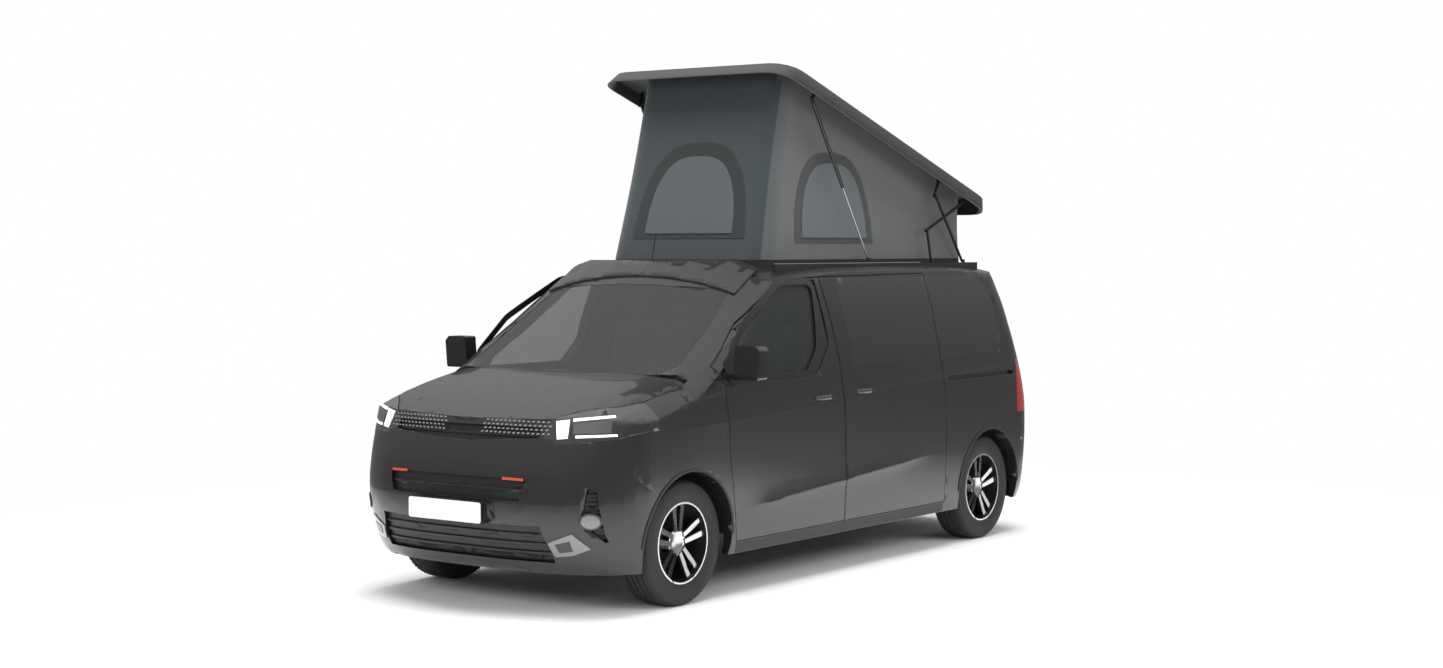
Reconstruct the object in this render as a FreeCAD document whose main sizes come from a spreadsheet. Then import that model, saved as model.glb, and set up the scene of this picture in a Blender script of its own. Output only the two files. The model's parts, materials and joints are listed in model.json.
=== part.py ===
import FreeCAD, Part
import Sketcher
import math
import os

vector = FreeCAD.Vector
doc = FreeCAD.newDocument("camper_van")
sheet = doc.addObject("Spreadsheet::Sheet", "Sizes")

# Driving sizes of the body, millimetres, X to the left, Y to the rear, Z up from the ground
body_sizes = {
    "wheelbase": 3275, "front_axle_y": -1590, "body_half_width": 959, "roof_height": 1850,
    "front_reach": 2442, "rear_reach": 2474, "front_corner_y": -1900, "rear_corner_run": 380,
    "sill_low_z": 235, "wall": 70, "skin": 22, "glass_sheet": 6, "door_gap": 5, "core_gap": 10,
    "fixed_gap": 0.5,
    "seat_gap": 0.3, "ledge": 18, "overrun": 40, "far_reach": 3000, "firewall_y": -1520,
    "hood_drop": 15, "hood_shoulder": 85, "shoulder_half_width": 900,
    "glass_base_y": -873, "glass_base_z": 1729, "glass_bow": 65, "pillar_drop": 30,
    "roof_crown": 35, "roof_edge_drop": 30, "roof_half_width": 800,
    "glass_start_y": -1900, "glass_end_y": -560, "glass_span_y": 1000,
    "glass_bow_y": -1530, "glass_bow_growth": 180, "side_start_x": 715,
}
front_sizes = {
    "hood_front_y": -2317, "hood_front_z": 1009, "hood_rear_y": -1640, "hood_corner_y": -1535,
    "hood_front_x": 542, "hood_front_side_y": -2269, "hood_lamp_x": 794, "hood_lamp_y": -2006,
    "hood_side_x": 846, "hood_side_y": -1875, "hood_rear_x": 850, "cowl_run": 55,
    "cowl_depth": 70, "rest_x": 640, "rest_width": 60, "rest_low_z": 900,
    "lamp_inner_x": 528, "lamp_inner_z": 946, "lamp_low_x": 641, "lamp_low_z": 909,
    "lamp_corner_x": 880, "lamp_corner_z": 938, "lamp_outer_z": 984, "lamp_top_z": 1118,
    "lamp_rear_y": -1865, "lamp_depth": 58,
    "fender_front_y": -2022, "fender_seam_z": 895, "fender_corner_y": -2048,
    "fender_corner_z": 755, "flare_front_y": -2017, "flare_front_z": 714,
    "arch_front_y": -1860, "arch_front_z": 600, "fender_top_y": -1420, "fender_top_z": 1240,
    "bumper_low_z": 222, "strip_low_z": 905, "strip_end_x": 510, "strip_end_z": 938,
    "strip_top_z": 990, "intake_low_z": 612, "intake_low_x": 445, "intake_top_x": 483,
    "intake_top_z": 728, "grille_low_z": 290, "grille_low_x": 590, "grille_top_x": 556,
    "grille_top_z": 486, "vent_low_x": 745, "vent_low_z": 507, "vent_outer_x": 851,
    "vent_outer_z": 386, "vent_top_x": 818, "vent_top_z": 667, "vent_inner_x": 774,
    "vent_inner_z": 694, "intake_round": 8, "bar_recess": 12, "bar_pitch": 40, "bar_height": 14,
    "grille_sheet": 12, "plate_width": 520, "plate_height": 110, "plate_z": 545,
}
opening_sizes = {
    "door_low_y": -1156, "door_mid_y": -1240, "door_belt_y": -1270, "door_tip_y": -1323,
    "door_low_z": 300, "door_mid_z": 760, "belt_z": 1165, "door_tip_z": 1273,
    "pillar_mid_y": -996, "pillar_mid_z": 1502, "door_top_front_y": -565,
    "door_top_front_z": 1738, "b_seam_top_y": -166, "b_seam_belt_y": -101, "b_seam_low_y": -60,
    "tip_drop": 16, "tip_end_y": -1190, "tip_low_z": 1235,
    "door_top_z": 1750, "surround_rear_y": -214, "surround_belt_y": -184,
    "surround_belt_z": 1361, "surround_recess": 6, "surround_depth": 18,
    "window_front_y": -1220, "window_pillar_y": -999, "window_pillar_z": 1484,
    "window_top_front_y": -582, "window_top_z": 1704, "window_top_rear_y": -266,
    "window_rear_y": -332, "window_mid_z": 1346, "window_low_z": 1215, "window_tip_z": 1262,
    "window_low_rear_y": -462, "window_low_front_y": -1180, "window_round": 25,
    "glass_recess": 12, "slide_top_y": 1053, "slide_belt_y": 1066, "slide_low_y": 1110,
    "slide_top_z": 1760, "window_sill_z": 1218, "slide_glass_front_y": 12,
    "slide_glass_low_y": 45, "glass_top_z": 1742, "glass_corner": 30, "quarter_top_y": 1720,
    "quarter_corner_y": 1862, "quarter_corner_z": 1590, "quarter_rear_y": 1869,
    "quarter_low_z": 1250, "quarter_round": 100,
    "rail_slot_z": 1092, "rail_slot_height": 26, "rail_slot_rear_y": 2004,
    "screen_low_z": 1232, "screen_low_x": 690, "screen_corner_x": 752, "screen_corner_z": 1275,
    "screen_mid_x": 715, "screen_mid_z": 1460, "screen_top_x": 645, "screen_top_z": 1690,
    "screen_crown": 24, "screen_round": 45,
    "tail_half_width": 795, "tail_shoulder_z": 1180, "tail_window_x": 775,
    "tail_window_z": 1450, "tail_top_half": 700, "tail_low_z": 640, "tail_top_z": 1745,
    "tail_start_y": 2125,
    "tail_glass_low_z": 1215, "tail_glass_top_z": 1685,
    "tail_glass_low_half": 715, "tail_glass_top_half": 600,
    "trim_low_z": 240, "tail_lamp_y": 2050, "tail_lamp_x": 803, "tail_lamp_low_z": 822,
    "tail_lamp_top_z": 1174, "rear_bumper_y": 1944, "rear_bumper_depth": 48,
    "hatch_half_width": 480, "hatch_front_y": -250, "hatch_rear_y": 1250,
    "mirror_foot_x": 880, "mirror_x": 1000, "mirror_width": 165, "mirror_front_y": -1255,
    "mirror_depth": 90, "mirror_low_z": 1205, "mirror_top_z": 1392, "mirror_round": 28,
    "mirror_foot_run": 62, "mirror_foot_height": 34, "mirror_lean": 14,
}
wheel_sizes = {
    "wheel_radius": 340, "tyre_half_width": 107, "rim_radius": 222, "rim_half_width": 95,
    "front_wheel_x": 805, "rear_wheel_x": 803, "arch_radius": 388, "well_radius": 425,
    "well_depth_x": 505, "lip_x": 885, "liner_sheet": 8, "rim_wall": 10,
    "hub_radius": 72, "hub_outer_x": 52, "disc_radius": 150, "disc_sheet": 22,
    "disc_x": -36, "cap_sheet": 6, "spindle_radius": 24, "spindle_play": 0.05, "spoke_root": 58,
    "spoke_depth": 22, "spoke_outer_x": 62, "spoke_near_gap": 7, "spoke_near_width": 24,
    "spoke_far_gap": 22, "spoke_far_width": 34, "tread_half_width": 84,
    "shoulder_low": 30, "bead_play": 0.3, "side_bulge": 45, "side_tuck": 4,
    "kingpin_x": 690, "spoke_count": 5, "upright_half_width": 34, "upright_reach": 140,
    "upright_depth": 30, "knuckle_radius": 58, "joint_play": 0.3,
}
roof_sizes = {
    "lid_length": 2630, "lid_half_width": 700, "lid_waist_half": 692, "lid_top_half": 640,
    "lid_height": 112, "lid_waist_height": 80, "lid_wall": 12, "lid_corner": 150,
    "lid_nose_run": 190, "lid_waist_run": 60, "lid_tail_run": 45, "lid_angle": 18.0,
    "lid_rear_y": 2136, "lid_rear_z": 2146,
    "rail_x": 701, "rail_width": 26, "ear_drop": 6, "rail_front_y": -450, "rail_rear_y": 1930,
    "rail_top_z": 1826, "canvas_wall": 12, "canvas_front_y": -394, "canvas_rear_y": 1966,
    "canvas_base_half": 596, "canvas_base_z": 1853, "canvas_frame_wall": 30,
    "canvas_top_half": 545, "canvas_top_front_run": 2405, "canvas_top_rear_run": 130,
    "canvas_corner": 110, "bar_half_height": 9, "bar_sheet": 8, "layer_pitch": 13,
    "first_layer_x": 610, "pin_radius": 5,
    "short_base_y": 1402, "short_base_z": 1826, "long_base_y": 1850, "long_base_z": 1836,
    "low_knee_y": 1350, "low_knee_z": 2032, "high_knee_y": 1502, "high_knee_z": 2263,
    "crossing_y": 1607.3, "crossing_z": 2133.8,
    "rear_pin_y": 1886, "rear_pin_z": 2244, "fore_pin_y": 1564.8, "fore_pin_z": 2370.4,
    "strut_pin_y": 9, "strut_pin_z": 2828, "strut_eye_y": 654, "strut_eye_z": 1852,
    "strut_x": 650, "barrel_radius": 11, "barrel_length": 640,
    "rod_radius": 6, "rod_overlap": 270,
    "fairing_front_y": -840, "fairing_rear_y": -608, "fairing_half_width": 690,
    "fairing_round": 35, "fairing_lift": 12, "antenna_y": -730, "antenna_z": 1788,
    "antenna_tip_y": -672, "antenna_tip_z": 2011, "antenna_radius": 4, "antenna_foot": 14,
}
inner_sizes = {
    "floor_top_z": 470, "floor_sheet": 36, "beam_width": 90, "beam_height": 120,
    "track_x": 330, "track_width": 40, "track_height": 6, "track_front_y": -240,
    "track_rear_y": 880,
    "dash_front_y": -1518, "dash_top_z": 1165, "dash_rear_y": -1060, "dash_low_z": 785,
    "dash_base_z": 1100, "dash_lip_z": 1040, "dash_knee_y": -1230, "dash_crest_y": -1300,
    "column_x": 365, "column_y": -960,
    "column_z": 1060, "column_tilt": 32, "steering_radius": 190, "steering_tube": 15,
    "column_radius": 26, "column_length": 210, "hub_cover_radius": 62,
    "hub_cover_depth": 40, "spoke_tube": 11,
    "seat_x": 400, "seat_front_y": -820, "seat_length": 520, "seat_width": 500,
    "seat_top_z": 830, "pad_depth": 130, "back_height": 640, "back_depth": 120,
    "back_lean": 150, "head_width": 280, "head_height": 190, "seat_foot_inset": 60,
    "head_gap": 20, "seat_round": 40,
    "bench_front_y": 900, "bench_half_width": 640, "bench_length": 520,
    "shelf_front_y": 1560, "shelf_rear_y": 2330,
    "shelf_top_z": 960, "shelf_sheet": 40, "shelf_half_width": 780,
    "engine_front_y": -2160, "engine_rear_y": -1640, "engine_half_width": 330,
    "engine_low_z": 330, "engine_top_z": 960,
    "radiator_y": -2235, "radiator_depth": 50,
    "radiator_low_z": 330, "radiator_top_z": 930, "rail_beam_x": 360, "rail_beam_width": 80,
    "rail_beam_low_z": 480, "rail_beam_height": 110,
    "firewall_low_z": 440, "gearbox_half_width": 200, "gearbox_run": 110,
    "gearbox_low_z": 270, "gearbox_top_z": 430, "shaft_radius": 16, "shaft_hole": 50,
    "shaft_end_run": 50,
    "subframe_half_width": 380, "subframe_front_y": -1720, "subframe_rear_y": -1460,
    "subframe_top_z": 230, "engine_mount": 60, "axle_tube": 34, "axle_tube_z": 360,
    "arm_height": 44, "arm_width": 60, "damper_x": 625,
    "damper_radius": 24, "spring_radius": 36, "damper_foot": 14, "trail_arm_y": 1185,
    "trail_arm_x": 600, "tank_front_y": -700, "tank_rear_y": 100, "tank_x": 120,
    "tank_width": 300, "tank_height": 150, "exhaust_x": -320, "exhaust_radius": 28,
    "muffler_radius": 90,
    "muffler_length": 520, "muffler_y": 300, "exhaust_z": 290, "exhaust_rear_y": 2290,
    "hanger_width": 16, "floor_rear_y": 2395, "beam_x": 440, "beam_front_y": -1100,
    "beam_rear_y": 1100, "crash_beam_half": 450, "crash_beam_depth": 60,
}


def fill_sheet(groups):
    row = 1
    for group in groups:
        for name, value in group.items():
            sheet.set("A%d" % row, name)
            sheet.set("B%d" % row, str(value))
            sheet.setAlias("B%d" % row, name)
            row += 1
    doc.recompute()


class SheetSizes:
    def __getattr__(self, name):
        return float(sheet.get(name))


fill_sheet([body_sizes, front_sizes, opening_sizes, wheel_sizes, roof_sizes, inner_sizes])
size = SheetSizes()

# Shares of the roof height, the half width and the two reaches, level by level
level_height_shares = [.0811, .1622, .2432, .3243, .4054, .4865, .5676,
                       .6486, .7568, .8649, .9459, 1, 1.0541]
level_width_shares = [.9385, .9781, .9906, .9979, 1, .999, .9917,
                      .9771, .9437, .8968, .8467, .7977, .7299]
level_front_shares = [.9009, .9623, .991, 1, .9902, .9685, .9419,
                      .9173, .8804, .8395, .8108, .7944, .778]
level_rear_shares = [.962, .9883, .9951, .9992, 1, .9968, .9842,
                     .966, .9438, .9216, .8994, .8812, .8569]
corner_turns = [0, 10, 24, 40, 57, 74, 90]
front_corner_power = 3.0
rear_corner_power = 3.2

# Hood, roof and windscreen stations: shares of the front reach or rear reach, and of the height
hood_run_shares = [-1.0238, -.9828, -.9378, -.86, -.7781, -.6552, -.5324]
hood_rise_shares = [.5081, .5351, .5578, .5973, .6324, .6681, .6919]
roof_run_shares = [-.7074, -.5255, -.4042, -.3638, -.3234, -.2829, -.2021, -.0808,
                   .1213, .4042, .6467, .8892, 1.0509]
roof_rise_shares = [.7, .8432, .9189, .9395, .9541, .9649, .9795, .9924,
                    1, 1, .9946, .9649, .9189]
across_shares = [-.3, 0, .3, .55, .72, .84, .95, 1.04, 1.12]
glass_run_shares = [0, .25, .5, .75, 1]
glass_slope = 0.69
edge_power = 8
straight_angle = 0.01
flat_share = 1e-9
corner_steps = 4
round_steps = 3
small_sides = 12
large_sides = 48
steering_sides = 28
disc_sides = 28


def thinned(stations, inset):
    if inset <= size.skin:
        return list(stations)
    return [station for place, station in enumerate(stations) if place % 2 == 0]


def plan_outline(level, inset):
    z = level_height_shares[level] * size.roof_height
    half = level_width_shares[level] * size.body_half_width - inset
    front = inset - level_front_shares[level] * size.front_reach
    rear_start = level_rear_shares[level] * size.rear_reach - inset - size.rear_corner_run
    points = []
    turns = thinned(corner_turns, inset)
    for turn in turns:
        angle = math.radians(turn)
        x = half * math.sin(angle) ** (2 / front_corner_power)
        y = size.front_corner_y + (front - size.front_corner_y) * math.cos(angle)
        points.append(vector(x, y, z))
    for turn in reversed(turns):
        angle = math.radians(turn)
        x = half * math.sin(angle) ** (2 / rear_corner_power)
        points.append(vector(x, rear_start + size.rear_corner_run * math.cos(angle), z))
    return points


# A closed skin of flat panels over a row of rings with equally many points
def panel_faces(corners):
    first, second, third, fourth = corners
    normal = (third - first).cross(fourth - second)
    if abs(normal.dot(second - first)) < flat_share * size.far_reach ** 3:
        return [Part.Face(Part.makePolygon(corners + [first]))]
    return [Part.Face(Part.makePolygon([first, second, third, first])),
            Part.Face(Part.makePolygon([first, third, fourth, first]))]


def ring_panels(low, high):
    faces = []
    for place in range(len(low)):
        faces += panel_faces([low[place - 1], low[place], high[place], high[place - 1]])
    return faces


def closed_solid(faces):
    solid = Part.Solid(Part.makeShell(faces))
    if solid.Volume < 0:
        solid.reverse()
    return solid


def ring_solid(rings):
    faces = [Part.Face(Part.makePolygon(ring + ring[:1])) for ring in (rings[0], rings[-1])]
    for low, high in zip(rings, rings[1:]):
        faces += ring_panels(low, high)
    return closed_solid(faces)


def belt_solid(inset):
    levels = thinned(range(len(level_height_shares)), inset)
    return ring_solid([plan_outline(level, inset) for level in levels])


def sheet_solid(inset, stations, height, reach):
    rings = []
    across = [share * size.shoulder_half_width for share in thinned(across_shares, inset)]
    for place, y in thinned(enumerate(stations), inset):
        edge = [vector(x, y, height(x, y, place)) for x in across]
        rings.append(edge + [vector(across[-1], y, reach), vector(across[0], y, reach)])
    return ring_solid(rings)


def hood_under(inset):
    stations = [share * size.front_reach for share in hood_run_shares]

    def height(x, y, place):
        rise = hood_rise_shares[place] * size.roof_height - inset
        edge = abs(x) / size.shoulder_half_width
        return rise - size.hood_drop * edge ** 2 - size.hood_shoulder * edge ** edge_power

    return sheet_solid(inset, stations, height, -size.far_reach)


def roof_under(inset):
    stations = [share * size.rear_reach for share in roof_run_shares]

    def height(x, y, place):
        rise = roof_rise_shares[place] * size.roof_height - inset
        edge = abs(x) / size.roof_half_width
        return rise - size.roof_crown * edge ** 2 - size.roof_edge_drop * edge ** edge_power

    return sheet_solid(inset, stations, height, -size.far_reach)


def glass_over(inset):
    run = size.glass_end_y - size.glass_start_y
    stations = [size.glass_start_y + share * run for share in glass_run_shares]
    steep_inset = inset * math.sqrt(1 + glass_slope ** 2)

    def height(x, y, place):
        climb = glass_slope * (y - size.glass_base_y)
        reach = (x / size.glass_span_y) ** 2
        growth = (y - size.glass_bow_y) / size.glass_span_y
        bow = (size.glass_bow + size.glass_bow_growth * growth) * reach
        drop = size.pillar_drop * (abs(x) / size.roof_half_width) ** edge_power
        return size.glass_base_z + climb - bow - drop - steep_inset

    return sheet_solid(inset, stations, height, size.far_reach)


form_cache = {}


def front_form(inset):
    if ("front", inset) not in form_cache:
        form_cache["front", inset] = belt_solid(inset).common(hood_under(inset))
    return form_cache["front", inset]


def cabin_form(inset):
    if ("cabin", inset) not in form_cache:
        whole = belt_solid(inset).common(roof_under(inset))
        form_cache["cabin", inset] = whole.cut(glass_over(inset))
    return form_cache["cabin", inset]


# Flat outlines with round corners, drawn across one axis and thickened along it
def axis_point(axis, along, first, second):
    if axis == "x":
        return vector(along, first, second)
    if axis == "y":
        return vector(first, along, second)
    return vector(first, second, along)


def round_outline(points, axis, along, radii):
    corners = [axis_point(axis, along, first, second) for first, second in points]
    count = len(corners)
    marks = []
    for place, corner in enumerate(corners):
        radius = radii[place] if isinstance(radii, list) else radii
        back = corners[place - 1] - corner
        ahead = corners[(place + 1) % count] - corner
        angle = back.getAngle(ahead)
        if radius == 0 or math.pi - angle < straight_angle:
            marks.append(corner)
            continue
        back.normalize()
        ahead.normalize()
        run = radius / math.tan(angle / 2)
        middle = back + ahead
        middle.normalize()
        centre = corner + middle * (radius / math.sin(angle / 2))
        start = corner + back * run - centre
        finish = corner + ahead * run - centre
        for step in range(round_steps + 1):
            spoke = start * (round_steps - step) + finish * step
            spoke.normalize()
            marks.append(centre + spoke * radius)
    return Part.makePolygon(marks + marks[:1])


def prism(points, axis, low, high, radii=0):
    face = Part.Face(round_outline(points, axis, low, radii))
    return face.extrude(axis_point(axis, high - low, 0, 0))


def inset_outline(points, amount):
    count = len(points)
    area = sum(points[place - 1][0] * points[place][1] - points[place][0] * points[place - 1][1]
               for place in range(count))
    side = amount if area > 0 else -amount
    lines = []
    for place in range(count):
        (x0, y0), (x1, y1) = points[place], points[(place + 1) % count]
        length = math.hypot(x1 - x0, y1 - y0)
        lines.append((x0 - (y1 - y0) / length * side, y0 + (x1 - x0) / length * side,
                      x1 - x0, y1 - y0))
    moved = []
    for place in range(count):
        x0, y0, a0, b0 = lines[place - 1]
        x1, y1, a1, b1 = lines[place]
        cross = a0 * b1 - b0 * a1
        step = ((x1 - x0) * b1 - (y1 - y0) * a1) / cross
        moved.append((x0 + a0 * step, y0 + b0 * step))
    return moved


def box(low_x, high_x, low_y, high_y, low_z, high_z):
    corner = vector(low_x, low_y, low_z)
    return Part.makeBox(high_x - low_x, high_y - low_y, high_z - low_z, corner)


def many_sided(radius, start, run):
    sides = large_sides if radius > size.rim_radius else small_sides
    first = vector(1, 0, 0).cross(run)
    if first.Length < run.Length * flat_share:
        first = vector(0, 0, 1)
    first.normalize()
    second = run.cross(first)
    second.normalize()
    ring = []
    for side in range(sides):
        angle = 2 * math.pi * side / sides
        ring.append(start + first * (radius * math.cos(angle))
                    + second * (radius * math.sin(angle)))
    return Part.Face(Part.makePolygon(ring + ring[:1])).extrude(run)


def cross_bar(radius, low_x, high_x, y, z):
    return many_sided(radius, vector(low_x, y, z), vector(high_x - low_x, 0, 0))


def mirrored(shape):
    return shape.mirror(vector(0, 0, 0), vector(1, 0, 0))


def both_sides(shape):
    return Part.makeCompound([shape, mirrored(shape)])


def keep_pair(name, shape):
    keep(name + "_left", shape)
    keep(name + "_right", mirrored(shape))


def across_centre(shape):
    return shape.fuse(mirrored(shape))


sub_parts = []


def keep(name, shape):
    feature = doc.addObject("Part::Feature", name)
    feature.Shape = shape
    feature.Label = name
    sub_parts.append(feature)


# A named size with the text that binds a feature to its cell
class Bound:
    def __init__(self, value, text):
        self.value = value
        self.text = text

    def joined(self, other, sign):
        other_value = other.value if isinstance(other, Bound) else other
        other_text = other.text if isinstance(other, Bound) else str(other)
        results = {"+": self.value + other_value, "-": self.value - other_value,
                   "*": self.value * other_value}
        return Bound(results[sign], "(%s %s %s)" % (self.text, sign, other_text))

    def __add__(self, other):
        return self.joined(other, "+")

    def __sub__(self, other):
        return self.joined(other, "-")

    def __mul__(self, other):
        return self.joined(other, "*")

    def __neg__(self):
        return Bound(-self.value, "(-1 * %s)" % self.text)


class BoundSizes:
    def __getattr__(self, name):
        return Bound(float(sheet.get(name)), "Sizes." + name)


bound = BoundSizes()
zero = Bound(0.0, "0")


def bind(feature, **sizes):
    for name, measure in sizes.items():
        feature.setExpression(name, measure.text)


def place_at(feature, x, y, z):
    for name, measure in (("x", x), ("y", y), ("z", z)):
        feature.setExpression(".Placement.Base." + name, measure.text)


def origin_plane(body, role):
    return [item for item in body.Origin.OriginFeatures if item.Role == role][0]


def drawn_profile(body, role, corners):
    sketch = body.newObject("Sketcher::SketchObject", body.Name + "_profile")
    sketch.AttachmentSupport = [(origin_plane(body, role), "")]
    sketch.MapMode = "FlatFace"
    count = len(corners)
    spots = [vector(first.value, second.value, 0) for first, second in corners]
    for place in range(count):
        sketch.addGeometry(Part.LineSegment(spots[place], spots[(place + 1) % count]), False)
    for place in range(count):
        following = (place + 1) % count
        sketch.addConstraint(Sketcher.Constraint("Coincident", place, 2, following, 1))
    for place, (first, second) in enumerate(corners):
        across = sketch.addConstraint(
            Sketcher.Constraint("DistanceX", -1, 1, place, 1, first.value))
        sketch.setExpression("Constraints[%d]" % across, first.text)
        upright = sketch.addConstraint(
            Sketcher.Constraint("DistanceY", -1, 1, place, 1, second.value))
        sketch.setExpression("Constraints[%d]" % upright, second.text)
    return sketch


def adopt(feature):
    feature.Label = feature.Name
    sub_parts.append(feature)


def joined_object(name, pieces):
    union = doc.addObject("Part::MultiFuse", name)
    union.Shapes = pieces
    union.Refine = True
    return union


# Side outlines as (y, z), front outlines as (x, z) and the hood's plan as (x, y)
def front_door_outline():
    return [(size.door_low_y, size.door_low_z), (size.door_mid_y, size.door_mid_z),
            (size.door_belt_y, size.belt_z), (size.door_tip_y, size.door_tip_z),
            (size.pillar_mid_y, size.pillar_mid_z),
            (size.door_top_front_y, size.door_top_front_z),
            (size.b_seam_top_y, size.door_top_z), (size.b_seam_belt_y, size.window_sill_z),
            (size.b_seam_low_y, size.door_low_z)]


def surround_outline():
    edge = size.door_gap + size.fixed_gap
    return [(size.door_belt_y + edge, size.belt_z), (size.door_tip_y + edge * 2, size.door_tip_z),
            (size.pillar_mid_y + edge, size.pillar_mid_z),
            (size.door_top_front_y, size.door_top_front_z - edge * 2),
            (size.surround_rear_y, size.door_top_z - edge * 3),
            (size.surround_belt_y, size.surround_belt_z),
            (size.window_rear_y, size.window_low_z - size.ledge)]


def door_window_outline():
    return [(size.window_front_y, size.window_tip_z), (size.window_pillar_y, size.window_pillar_z),
            (size.window_top_front_y, size.window_top_z),
            (size.window_top_rear_y, size.window_top_z), (size.window_rear_y, size.window_mid_z),
            (size.window_low_rear_y, size.window_low_z),
            (size.window_low_front_y, size.window_low_z)]


def slide_door_outline():
    gap = size.door_gap
    return [(size.b_seam_low_y + gap, size.door_low_z),
            (size.b_seam_belt_y + gap, size.window_sill_z),
            (size.b_seam_top_y + gap, size.door_top_z),
            (size.slide_top_y, size.slide_top_z), (size.slide_belt_y, size.window_sill_z),
            (size.slide_low_y, size.door_mid_z), (size.slide_low_y, size.door_low_z)]


def slide_glass_outline():
    edge = size.door_gap
    return [(size.slide_glass_low_y, size.window_sill_z),
            (size.slide_glass_front_y, size.glass_top_z),
            (size.slide_top_y - edge, size.glass_top_z),
            (size.slide_belt_y - edge, size.window_sill_z)]


def quarter_glass_outline():
    edge = size.door_gap
    return [(size.slide_belt_y + edge, size.window_sill_z),
            (size.slide_top_y + edge, size.glass_top_z),
            (size.quarter_top_y, size.glass_top_z),
            (size.quarter_corner_y, size.quarter_corner_z),
            (size.quarter_rear_y, size.quarter_low_z)]


def quarter_radii():
    return [size.glass_corner, size.glass_corner, size.quarter_round, size.quarter_round,
            size.glass_corner]


def screen_outline():
    return [(-size.overrun, size.screen_low_z), (size.screen_low_x, size.screen_low_z),
            (size.screen_corner_x, size.screen_corner_z), (size.screen_mid_x, size.screen_mid_z),
            (size.screen_top_x, size.screen_top_z),
            (-size.overrun, size.screen_top_z + size.screen_crown)]


def screen_radii():
    return [0, size.screen_round, size.screen_round, 0, size.screen_round, 0]


def tail_outline():
    return [(-size.overrun, size.tail_low_z), (size.tail_half_width, size.tail_low_z),
            (size.tail_half_width, size.tail_shoulder_z), (size.tail_window_x, size.tail_window_z),
            (size.tail_top_half, size.tail_top_z), (size.tail_top_half, size.far_reach),
            (-size.overrun, size.far_reach)]


def tail_glass_outline():
    return [(-size.overrun, size.tail_glass_low_z),
            (size.tail_glass_low_half, size.tail_glass_low_z),
            (size.tail_glass_top_half, size.tail_glass_top_z),
            (-size.overrun, size.tail_glass_top_z)]


def hood_outline():
    return [(-size.overrun, size.hood_front_y), (size.hood_front_x, size.hood_front_side_y),
            (size.hood_lamp_x, size.hood_lamp_y), (size.hood_side_x, size.hood_side_y),
            (size.hood_rear_x, size.hood_corner_y), (-size.overrun, size.hood_rear_y)]


def cowl_outline():
    run = size.cowl_run
    return [(-size.overrun, size.hood_rear_y - size.door_gap),
            (size.hood_rear_x, size.hood_corner_y - size.door_gap),
            (size.hood_rear_x, size.hood_corner_y + run),
            (-size.overrun, size.hood_rear_y + run)]


def lamp_outline():
    outer = size.body_half_width + size.overrun
    return [(size.hood_front_x, size.hood_front_z + size.ledge),
            (size.lamp_inner_x, size.lamp_inner_z), (size.lamp_low_x, size.lamp_low_z),
            (size.lamp_corner_x, size.lamp_corner_z), (outer, size.lamp_outer_z),
            (outer, size.lamp_top_z), (size.hood_front_x, size.lamp_top_z)]


def fender_seam():
    high = size.fender_top_z
    low = size.bumper_low_z - size.overrun
    return [(size.fender_front_y, high), (size.fender_front_y, size.fender_seam_z),
            (size.fender_corner_y, size.fender_corner_z),
            (size.flare_front_y, size.flare_front_z), (size.arch_front_y, size.arch_front_z),
            (size.arch_front_y, low)]


def fender_outline():
    gap = size.door_gap
    return fender_seam() + [(size.door_low_y - gap, size.bumper_low_z - size.overrun),
                            (size.door_low_y - gap, size.door_low_z),
                            (size.door_mid_y - gap, size.door_mid_z),
                            (size.door_belt_y - gap, size.belt_z),
                            (size.fender_top_y, size.fender_top_z)]


def sill_outline():
    high = size.door_low_z - size.door_gap
    return [(size.door_low_y, size.trim_low_z), (size.slide_low_y, size.trim_low_z),
            (size.slide_low_y, high), (size.door_low_y, high)]


def tail_lamp_outline():
    return [(size.tail_lamp_y, size.tail_lamp_low_z), (size.far_reach, size.tail_lamp_low_z),
            (size.far_reach, size.tail_lamp_top_z), (size.tail_lamp_y, size.tail_lamp_top_z)]


def rear_bumper_outline():
    high = size.tail_low_z - size.door_gap * 2
    return [(size.rear_bumper_y, size.sill_low_z), (size.far_reach, size.sill_low_z),
            (size.far_reach, high), (size.rear_bumper_y, high)]


def rail_slot_outline():
    low = size.rail_slot_z - size.rail_slot_height / 2
    high = size.rail_slot_z + size.rail_slot_height / 2
    return [(size.slide_low_y + size.ledge, low), (size.rail_slot_rear_y, low),
            (size.rail_slot_rear_y, high), (size.slide_low_y + size.ledge, high)]


def strip_outline():
    return [(-size.overrun, size.strip_low_z), (size.strip_end_x, size.strip_end_z),
            (size.strip_end_x, size.strip_top_z), (-size.overrun, size.strip_top_z)]


def upper_intake_outline():
    return [(-size.overrun, size.intake_low_z), (size.intake_low_x, size.intake_low_z),
            (size.intake_top_x, size.intake_top_z), (-size.overrun, size.intake_top_z)]


def lower_intake_outline():
    return [(-size.overrun, size.grille_low_z), (size.grille_low_x, size.grille_low_z),
            (size.grille_top_x, size.grille_top_z), (-size.overrun, size.grille_top_z)]


def vent_outline():
    return [(size.vent_low_x, size.vent_low_z), (size.vent_outer_x, size.vent_outer_z),
            (size.vent_top_x, size.vent_top_z), (size.vent_inner_x, size.vent_inner_z)]


def intake_outlines():
    return [strip_outline(), upper_intake_outline(), lower_intake_outline(), vent_outline()]


# Cutting blocks and closing panels
def rear_axle_y():
    return size.front_axle_y + size.wheelbase


def wheel_cuts(y, extra):
    arch = cross_bar(size.arch_radius + extra, size.lip_x - size.overrun,
                          size.body_half_width + size.overrun, y, size.wheel_radius)
    well = cross_bar(size.well_radius + size.liner_sheet + size.fixed_gap,
                          size.well_depth_x - size.liner_sheet - size.fixed_gap,
                          size.lip_x + size.fixed_gap, y, size.wheel_radius)
    return [arch, well]


def side_block(outline, radii=0):
    return prism(outline, "x", size.side_start_x, size.body_half_width + size.overrun, radii)


def layer(block, form, outer, inner):
    return block.common(form(outer)).cut(form(inner))


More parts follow.
